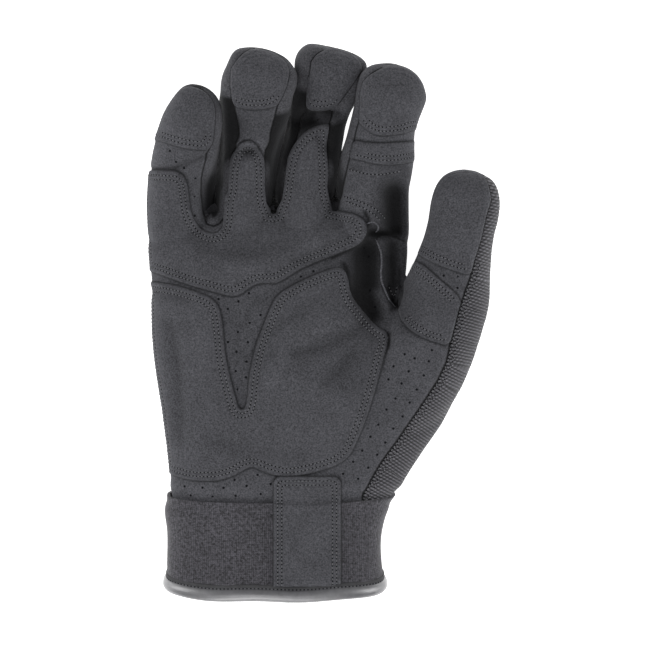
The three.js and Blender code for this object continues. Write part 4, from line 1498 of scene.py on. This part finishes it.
class GLOVE_OT_side_strips(bpy.types.Operator):
    """Cut the strips between the fingers"""

    bl_idname = "glove.side_strips"
    bl_label = "Side Strips"

    def execute(self, context):
        sizes, colours = context.scene.glove_sizes, context.scene.glove_colours
        # Painted shade: each strip darkens lower down and further into the gap, except a margin by the
        # seam, and again at the gap's floor.
        cloth = suede_material(
            "strip_suede", colours.strip, shade_field="height", edge_field="seam",
            shade_factor_field="slot")
        for name, reach in workshop["strips"].items():
            start, end = STRIP_DEPTHS[name]
            margin = (
                smoothstep(0.0036, 0.0016, -workshop["suede"])
                * smoothstep(150.0, 172.0, workshop["v"]))
            margin *= STRIP_MARGINS.get(name, 0.45)
            height = workshop["q"] - 1.6 * smoothstep(start, end, workshop["v"]) * (1.0 - margin)
            bm = cut_from_form({
                "cut": reach, "outward": workshop["normals"], "height": height,
                "seam": -workshop["suede"], "slot": workshop["slot"],
            }, "cut")
            turn_edges_in(bm, sizes.cloth_thickness * 0.8)
            finish_piece(
                bm, name + "_cloth", cloth, (name,), keep=("height", "seam", "slot"))
        return {"FINISHED"}


def overlay_rise(reach, sizes, quilted):
    """How far an overlay stands above the panel, by distance from its edge."""
    rise = 0.00022 + sizes.patch_rise * smoothstep(-0.0001, 0.0008, reach)
    dip = np.exp(-((reach - sizes.row_near) / 0.00042) ** 2)
    dip += np.exp(-((reach - sizes.row_far) / 0.00042) ** 2)
    rise -= 0.00022 * dip * quilted
    rise += sizes.patch_fill * smoothstep(sizes.row_far, sizes.row_far + 0.006, reach)
    return rise


class GLOVE_OT_overlays(bpy.types.Operator):
    """Raise the suede overlays on the palm, the fingertips and the thumb"""

    bl_idname = "glove.overlays"
    bl_label = "Suede Overlays"

    def execute(self, context):
        sizes, colours = context.scene.glove_sizes, context.scene.glove_colours
        # Painted shade darkens each overlay toward its raised edge.
        cloth = suede_material(
            "overlay_suede", colours.overlay, edge_field="reach", shade_factor_field="shade",
            edge_floor=0.25)
        workshop["overlay_pieces"] = {}
        for name, reach in workshop["overlays"].items():
            bm = cut_from_form({
                "cut": reach, "outward": workshop["normals"], "reach": reach,
                "shade": workshop["shade"], "height": workshop["q"],
            }, "cut", keep_margin=0.0016)
            if not bm.faces:
                raise RuntimeError("overlay " + name + " came out empty")
            bmesh.ops.subdivide_edges(bm, edges=list(bm.edges), cuts=1, use_grid_fill=True)
            bmesh.ops.triangulate(bm, faces=[face for face in bm.faces if len(face.verts) > 4])
            reached = bm.verts.layers.float["reach"]
            height = bm.verts.layers.float["height"]
            normal = bm.verts.layers.float_vector["outward"]
            distances = np.array([vert[reached] for vert in bm.verts])
            tall = 1.0 if name in ("upper_palm_patch", "lower_palm_patch") else 0.72
            heights = np.array([vert[height] for vert in bm.verts])
            rises = overlay_rise(distances, sizes, 1.0) * tall * smoothstep(-0.15, 0.45, heights)
            if name == "thumb_saddle_patch":
                rises = rises * 0.4
            for vert, rise in zip(bm.verts, rises):
                vert.co += vert[normal] * rise
            turn_edges_in(bm, 0.0011 * tall)
            workshop["overlay_pieces"][name] = finish_piece(
                bm, name + "_suede", cloth, (name,), keep=("reach", "shade"))
        tree = surface_tree([bpy.data.objects["palm_panel_suede"],
                             workshop["overlay_pieces"]["thumb_saddle_patch"]])
        # The rolled edges are in a suede half again as pale as the overlays.
        paler_suede = suede_material("rolled_edge_suede", [value * 1.5 for value in colours.overlay])
        for i, (line, radius) in enumerate(ROLLED_EDGES):
            finish_piece(rolled_edge(line, tree, radius * MM), "saddle_rolled_edge_%d" % (i + 1),
                         paler_suede, recalc=True)
        return {"FINISHED"}


def surface_tree(objects):
    """One search tree over the surfaces of several pieces."""
    whole = bmesh.new()
    for obj in objects:
        whole.from_mesh(obj.data)
    tree = BVHTree.FromBMesh(whole)
    whole.free()
    return tree


class GLOVE_OT_cuff(bpy.types.Operator):
    """Make the knitted cuff, its tab and the rolled binding at its end"""

    bl_idname = "glove.cuff"
    bl_label = "Cuff"

    def execute(self, context):
        colours = context.scene.glove_colours
        around = 288
        rings = row_rings(CUFF, 84, around)
        bm, _, _ = closed_rings(rings)
        round_run = bm.verts.layers.float.new("round_run")
        length_run = bm.verts.layers.float.new("length_run")
        for vert in bm.verts:
            x, y, z = vert.co
            length_run_value = -y - 0.25 * (z - 0.018)
            vert[length_run] = length_run_value
            angle = math.atan2((z - 0.018) * 2.5, x + 0.019)
            vert[round_run] = x if abs(math.sin(angle)) > 0.55 else math.copysign(z, x + 0.019)
            ripple = 0.00022 * math.sin(x * 330 + 1.2 * math.sin(y * 190)) * math.sin(y * 150 + 2.0)
            lean = Vector((x + 0.019, 0.0, (z - 0.018) * 2.0)).normalized()
            pinch = math.exp(-((length_run_value - 0.0743) / 0.0022) ** 2)
            vert.co += lean * (ripple - 0.0006 * pinch)
            vert.co.z = max(vert.co.z, 0.0004)
        bmesh.ops.recalc_face_normals(bm, faces=list(bm.faces))
        middle = Vector((-0.019, -0.09, 0.018))
        face = max(bm.faces, key=lambda item: item.calc_center_median().z)
        if face.normal.dot(face.calc_center_median() - middle) < 0:
            bmesh.ops.reverse_faces(bm, faces=list(bm.faces))
        bmesh.ops.solidify(bm, geom=list(bm.faces), thickness=0.0016)
        knit = knit_material("cuff_knit", colours.knit)
        cuff = finish_piece(bm, "cuff_knit_tube", knit, ("cuff",),
                            keep=("round_run", "length_run"))
        workshop["cuff"] = cuff
        self.build_tab(context)
        self.build_binding(context)
        return {"FINISHED"}

    def build_tab(self, context):
        colours = context.scene.glove_colours
        suede = bpy.data.objects["palm_panel_suede"]
        tree = surface_tree([suede, workshop["cuff"], bpy.data.objects["lower_palm_patch_suede"]])
        left, right = TAB_OUTLINE_U
        top, bottom = TAB_OUTLINE_V
        x_low, y_high = place(left, top)
        x_high, y_low = place(right, bottom)
        bm = bmesh.new()
        across, down = 72, 110
        bmesh.ops.create_grid(bm, x_segments=across, y_segments=down, size=1.0)
        reach = bm.verts.layers.float.new("reach")
        corner = 0.0034
        for vert in bm.verts:
            s, t = (vert.co.x + 1) / 2, (vert.co.y + 1) / 2
            x = x_low + (x_high - x_low) * s
            y = y_low + (y_high - y_low) * t
            # The upper corners are rounded: points past the arc are drawn onto it.
            dx = max(x_low + corner - x, x - x_high + corner, 0.0)
            dy = max(y - y_high + corner, 0.0)
            away = math.hypot(dx, dy)
            if dx > 0 and dy > 0 and away > corner * 0.02:
                square = max(dx, dy)
                pull = square / away
                x += math.copysign(dx * (1 - pull), (x_low + x_high) / 2 - x)
                y -= dy * (1 - pull)
                edge = corner - square
            else:
                edge = min(x - x_low, x_high - x, y_high - y)
            hit, _, _, _ = tree.ray_cast(Vector((x, y, 0.08)), Vector((0.0, 0.0, -1.0)))
            z = hit.z if hit is not None else 0.03
            vert.co = Vector((x, y, z))
            vert[reach] = edge
        for _ in range(14):
            bmesh.ops.smooth_vert(bm, verts=list(bm.verts), factor=0.5, use_axis_z=True)
        for vert in bm.verts:
            lift = float(overlay_rise(np.array([vert[reach]]), context.scene.glove_sizes, 1.0)[0])
            vert.co.z += lift + 0.0009
        bmesh.ops.recalc_face_normals(bm, faces=list(bm.faces))
        if sum(face.normal.z for face in bm.faces) < 0:
            bmesh.ops.reverse_faces(bm, faces=list(bm.faces))
        border = [edge for edge in bm.edges if edge.is_boundary]
        for _ in range(2):
            drawn = bmesh.ops.extrude_edge_only(bm, edges=border)["geom"]
            fresh = {item for item in drawn if isinstance(item, bmesh.types.BMVert)}
            for vert in fresh:
                vert.co.z -= 0.0010
            border = [
                item for item in drawn if isinstance(item, bmesh.types.BMEdge)
                and item.verts[0] in fresh and item.verts[1] in fresh
            ]
        # Painted shadow darkens the tab toward its raised edge.
        cloth = suede_material("tab_suede", colours.overlay, edge_field="reach")
        workshop["tab"] = finish_piece(
            bm, "cuff_tab_suede", cloth, ("cuff_tab",), keep=("reach",))

    def build_binding(self, context):
        colours = context.scene.glove_colours
        last = row_rings([CUFF[-2], CUFF[-1]], 2, 240)[-1]
        centre = last.mean(axis=0)
        outward = last - centre
        outward[:, 1] = 0.0
        outward /= np.linalg.norm(outward, axis=1)[:, None]
        # Profiles round the folded lip and round the roll: outward and toward the fingers, in mm.
        lip = [
            (-2.2, 1.0), (-0.4, 0.40), (0.15, 0.30), (0.38, -0.1), (0.42, -0.7), (0.30, -1.3),
            (0.05, -1.8), (-0.9, -2.0), (-2.2, -1.6),
        ]
        roll = [
            (-1.8, -1.2), (-0.4, -1.35), (0.35, -1.6), (1.0, -2.15), (1.5, -3.0), (1.7, -4.0),
            (1.5, -5.1), (0.95, -6.0), (0.0, -6.6), (-1.2, -6.7), (-2.2, -6.0), (-2.7, -4.6),
            (-2.8, -2.4),
        ]
        gloss = binding_material("binding_gloss", colours.binding)
        # The lip is the binding without gloss, its colour darkened with painted shade.
        shaded_lip = binding_material("binding_lip_matt", [value * 0.42 for value in colours.binding], 0.0)
        self.ring_body(last, outward, lip, "cuff_binding_lip", shaded_lip, ())
        workshop["binding"] = bpy.data.objects["cuff_binding_lip"]
        self.ring_body(last, outward, roll, "cuff_binding_roll", gloss, ("cuff_binding",))
        groove = self.rings_along(last, outward, lip)[5]
        workshop["binding_groove"] = np.vstack([groove, groove[:1]])

    def rings_along(self, last, outward, profile):
        loops = []
        for out, ahead in profile:
            ring = last + outward * (out * MM)
            ring[:, 1] += ahead * MM + 0.0003 * np.sin(ring[:, 0] * 170.0)
            ring[:, 2] = np.maximum(ring[:, 2], 0.0003)
            loops.append(ring)
        return loops

    def ring_body(self, last, outward, profile, name, material, nodes):
        bm, start, end = closed_rings(self.rings_along(last, outward, profile))
        bmesh.ops.bridge_loops(bm, edges=start + end)
        bmesh.ops.subdivide_edges(
            bm, edges=list(bm.edges), cuts=1, use_grid_fill=True, smooth=0.6)
        finish_piece(bm, name, material, nodes, recalc=True)


class GLOVE_OT_stitching(bpy.types.Operator):
    """Sew the stitch rows, with dark beads of painted shade for their needle holes"""

    bl_idname = "glove.stitching"
    bl_label = "Stitching"

    def execute(self, context):
        sizes, colours = context.scene.glove_sizes, context.scene.glove_colours
        thread = thread_material("sewing_thread", colours.thread)
        dark = hole_shade_material("needle_hole_dark")
        for group, names in (
            ("upper_palm", ["upper_palm_patch"]), ("lower_palm", ["lower_palm_patch"]),
            ("finger", [name for name in PATCHES if not name.endswith("palm_patch")]),
        ):
            threads, holes = [], []
            for name in names:
                obj = workshop["overlay_pieces"][name]
                values = field_of(obj, "reach")
                tree = surface_tree([obj])
                low, high = ROW_LIMITS[name]
                for level in (sizes.row_near, sizes.row_far):
                    for line in level_lines(obj.data, values, level):
                        for part in parts_within(line, low, high, name in CROSS_ROWS):
                            stitch_row(threads, holes, part, tree, sizes)
            self.finish(threads, holes, group, thread, dark, names[0])
        threads, holes = [], []
        tree = surface_tree([bpy.data.objects["palm_panel_suede"]])
        for row in PANEL_ROWS:
            stitch_row(threads, holes, laid_line(row, tree, sizes.stitch_pitch), tree, sizes)
        self.finish(threads, holes, "panel_rows", thread, dark, "palm_panel")
        self.sew_tab_and_binding(sizes, thread, dark)
        self.sew_thumb_seam(sizes, thread, dark)
        return {"FINISHED"}

    def finish(self, threads, holes, group, thread, dark, slot):
        finish_piece(beads(threads, 4), group + "_stitches", thread)
        finish_piece(beads(holes, 3), group + "_needle_holes", dark)

    def sew_tab_and_binding(self, sizes, thread, dark):
        threads, holes = [], []
        tab = workshop["tab"]
        values = field_of(tab, "reach")
        tree = surface_tree([tab])
        for level in (sizes.row_near, sizes.row_far):
            for line in level_lines(tab.data, values, level):
                stitch_row(threads, holes, line, tree, sizes)
        roll = surface_tree([workshop["binding"]])
        stitch_row(threads, holes, workshop["binding_groove"], roll, sizes)
        self.finish(threads, holes, "cuff", thread, dark, "cuff_tab")

    def sew_thumb_seam(self, sizes, thread, dark):
        threads, holes = [], []
        obj = workshop["thumb_side_back"]
        values = field_of(obj, "seam_run")
        tree = surface_tree([obj])
        for level in (0.0006, 0.0022):
            for line in level_lines(obj.data, values, level):
                for part in parts_within(line, 262, 500):
                    if part[:, 2].min() > 0.018:
                        stitch_row(threads, holes, part, tree, sizes)
        self.finish(threads, holes, "thumb_seam", thread, dark, "back_panel")


def parts_within(line, low, high, across=False):
    """The stretches of a line whose v lies between two limits, or of those the level ones."""
    v = SHEET_V - line[:, 1] / UNIT
    keep = (v > low) & (v < high)
    if across:
        ahead = np.roll(line, -3, axis=0) - np.roll(line, 3, axis=0)
        level = np.abs(ahead[:, 0]) > 0.5 * np.hypot(ahead[:, 0], ahead[:, 1])
        keep &= level
    if keep.all():
        return [line]
    if not keep.any():
        return []
    first = int(np.argmin(keep))
    line, keep = np.roll(line[:-1], -first, axis=0), np.roll(keep[:-1], -first)
    parts, current = [], []
    for point, inside in zip(line, keep):
        if inside:
            current.append(point)
        elif current:
            parts.append(np.array(current))
            current = []
    if current:
        parts.append(np.array(current))
    return [part for part in parts if len(part) > 4]


def laid_line(plan, tree, pitch):
    """A line given on the drawing sheet, laid down onto a surface."""
    x, y = place(np.array([p[0] for p in plan]), np.array([p[1] for p in plan]))
    flat = even_steps(np.column_stack([x, y, np.zeros(len(plan))]), pitch)
    heights = []
    for point in flat:
        hit, _, _, _ = tree.ray_cast(Vector((point[0], point[1], 0.09)), Vector((0.0, 0.0, -1.0)))
        heights.append(hit.z if hit is not None else 0.03)
    flat[:, 2] = heights
    for _ in range(3):
        flat[1:-1, 2] = flat[1:-1, 2] * 0.5 + (flat[:-2, 2] + flat[2:, 2]) * 0.25
    return flat


def rolled_edge(plan, tree, radius):
    """A thin round roll laid along a line of a surface, thinner toward its ends."""
    path = laid_line(plan, tree, 0.0006)
    ahead = np.gradient(path, axis=0)
    ahead /= np.linalg.norm(ahead, axis=1)[:, None]
    side = np.cross(ahead, (0.0, 0.0, 1.0))
    side /= np.linalg.norm(side, axis=1)[:, None]
    up = np.cross(side, ahead)
    angles = np.linspace(0.0, 2 * np.pi, 10, endpoint=False)
    run = np.linspace(0.0, 1.0, len(path))
    taper = 0.35 + 0.65 * smoothstep(0.0, 0.12, run) * smoothstep(1.0, 0.88, run)
    rings = []
    for i in range(len(path)):
        reach = radius * taper[i]
        ring = path[i] + reach * np.cos(angles)[:, None] * side[i]
        rings.append(ring + reach * (np.sin(angles)[:, None] + 0.55) * up[i])
    bm, start, end = closed_rings(rings)
    close_ends(bm, start, end)
    return bm


class GLOVE_OT_perforations(bpy.types.Operator):
    """Lay dark discs of painted shade on the small air holes of the perforated suede"""

    bl_idname = "glove.perforations"
    bl_label = "Perforations"

    def execute(self, context):
        sizes = context.scene.glove_sizes
        objects = [bpy.data.objects["palm_panel_suede"]] + list(workshop["overlay_pieces"].values())
        tree = surface_tree(objects)
        bm = bmesh.new()
        radius = sizes.perforation / 2
        for u, v in PERFORATIONS:
            x, y = place(u, v)
            hit, normal, _, _ = tree.ray_cast(Vector((x, y, 0.09)), Vector((0.0, 0.0, -1.0)))
            if hit is None:
                continue
            turn = normal.to_track_quat("Z", "Y").to_matrix().to_4x4()
            spot = Matrix.Translation(hit + normal * 0.00004) @ turn
            made = bmesh.ops.create_circle(
                bm, segments=14, radius=radius, cap_ends=True, matrix=spot)
            face = made["verts"][0].link_faces[0]
            bmesh.ops.inset_region(bm, faces=[face], thickness=radius * 0.35, depth=-0.00003)
        dark = hole_shade_material("punched_hole_dark")
        finish_piece(bm, "perforation_holes", dark)
        return {"FINISHED"}


class GLOVE_OT_stage(bpy.types.Operator):
    """Set the floor, the soft lights and the camera straight above"""

    bl_idname = "glove.stage"
    bl_label = "Stage"

    def execute(self, context):
        colours = context.scene.glove_colours
        scene = context.scene
        bm = bmesh.new()
        bmesh.ops.create_grid(bm, x_segments=2, y_segments=2, size=4.0)
        mesh = bpy.data.meshes.new("studio_floor")
        bm.to_mesh(mesh)
        bm.free()
        floor = bpy.data.objects.new("studio_floor", mesh)
        scene.collection.objects.link(floor)
        mesh.materials.append(floor_material("floor_pale", colours.floor))

        world = bpy.data.worlds.new("studio_world")
        world.use_nodes = True
        background = world.node_tree.nodes["Background"]
        background.inputs["Color"].default_value = (1.0, 1.0, 1.0, 1.0)
        background.inputs["Strength"].default_value = 0.16
        scene.world = world

        for name, spot, size, power in LIGHTS:
            light = bpy.data.lights.new(name, "AREA")
            light.shape = "SQUARE"
            light.size = size
            light.energy = power
            lamp = bpy.data.objects.new(name, light)
            lamp.location = spot
            lamp.rotation_euler = (-Vector(spot)).to_track_quat("-Z", "Y").to_euler()
            scene.collection.objects.link(lamp)

        lens = bpy.data.cameras.new("photo_camera")
        lens.sensor_width = 36.0
        lens.lens = lens.sensor_width * CAMERA_DISTANCE / (PICTURE_WIDTH * UNIT)
        lens.clip_end = 20.0
        camera = bpy.data.objects.new("photo_camera", lens)
        x, y = place(323, 323)
        camera.location = (x, y, CAMERA_DISTANCE + 0.025)
        scene.collection.objects.link(camera)
        scene.camera = camera
        scene.view_settings.view_transform = "Standard"
        return {"FINISHED"}


class GLOVE_PT_panel(bpy.types.Panel):
    """Sizes, colours and building steps of the glove"""

    bl_label = "Tactical Glove"
    bl_idname = "GLOVE_PT_panel"
    bl_space_type = "VIEW_3D"
    bl_region_type = "UI"
    bl_category = "Glove"

    def draw(self, context):
        layout = self.layout
        for group in (context.scene.glove_sizes, context.scene.glove_colours):
            box = layout.box()
            for name in type(group).__annotations__:
                box.prop(group, name)
        for operator in OPERATORS:
            layout.operator(operator.bl_idname)


OPERATORS = (
    GLOVE_OT_hand_form, GLOVE_OT_palm_panel, GLOVE_OT_back_panel, GLOVE_OT_side_strips,
    GLOVE_OT_overlays, GLOVE_OT_cuff, GLOVE_OT_stitching, GLOVE_OT_perforations, GLOVE_OT_stage,
)
CLASSES = (GloveSizes, GloveColours) + OPERATORS + (GLOVE_PT_panel,)


def register():
    for item in CLASSES:
        bpy.utils.register_class(item)
    bpy.types.Scene.glove_sizes = bpy.props.PointerProperty(type=GloveSizes)
    bpy.types.Scene.glove_colours = bpy.props.PointerProperty(type=GloveColours)


def unregister():
    del bpy.types.Scene.glove_colours
    del bpy.types.Scene.glove_sizes
    for item in reversed(CLASSES):
        bpy.utils.unregister_class(item)


def main():
    register()
    bpy.ops.glove.hand_form()
    bpy.ops.glove.palm_panel()
    bpy.ops.glove.back_panel()
    bpy.ops.glove.side_strips()
    bpy.ops.glove.overlays()
    bpy.ops.glove.cuff()
    bpy.ops.glove.stitching()
    bpy.ops.glove.perforations()
    bpy.ops.glove.stage()
    bpy.data.meshes.remove(workshop["mesh"])


if __name__ == "__main__":
    main()
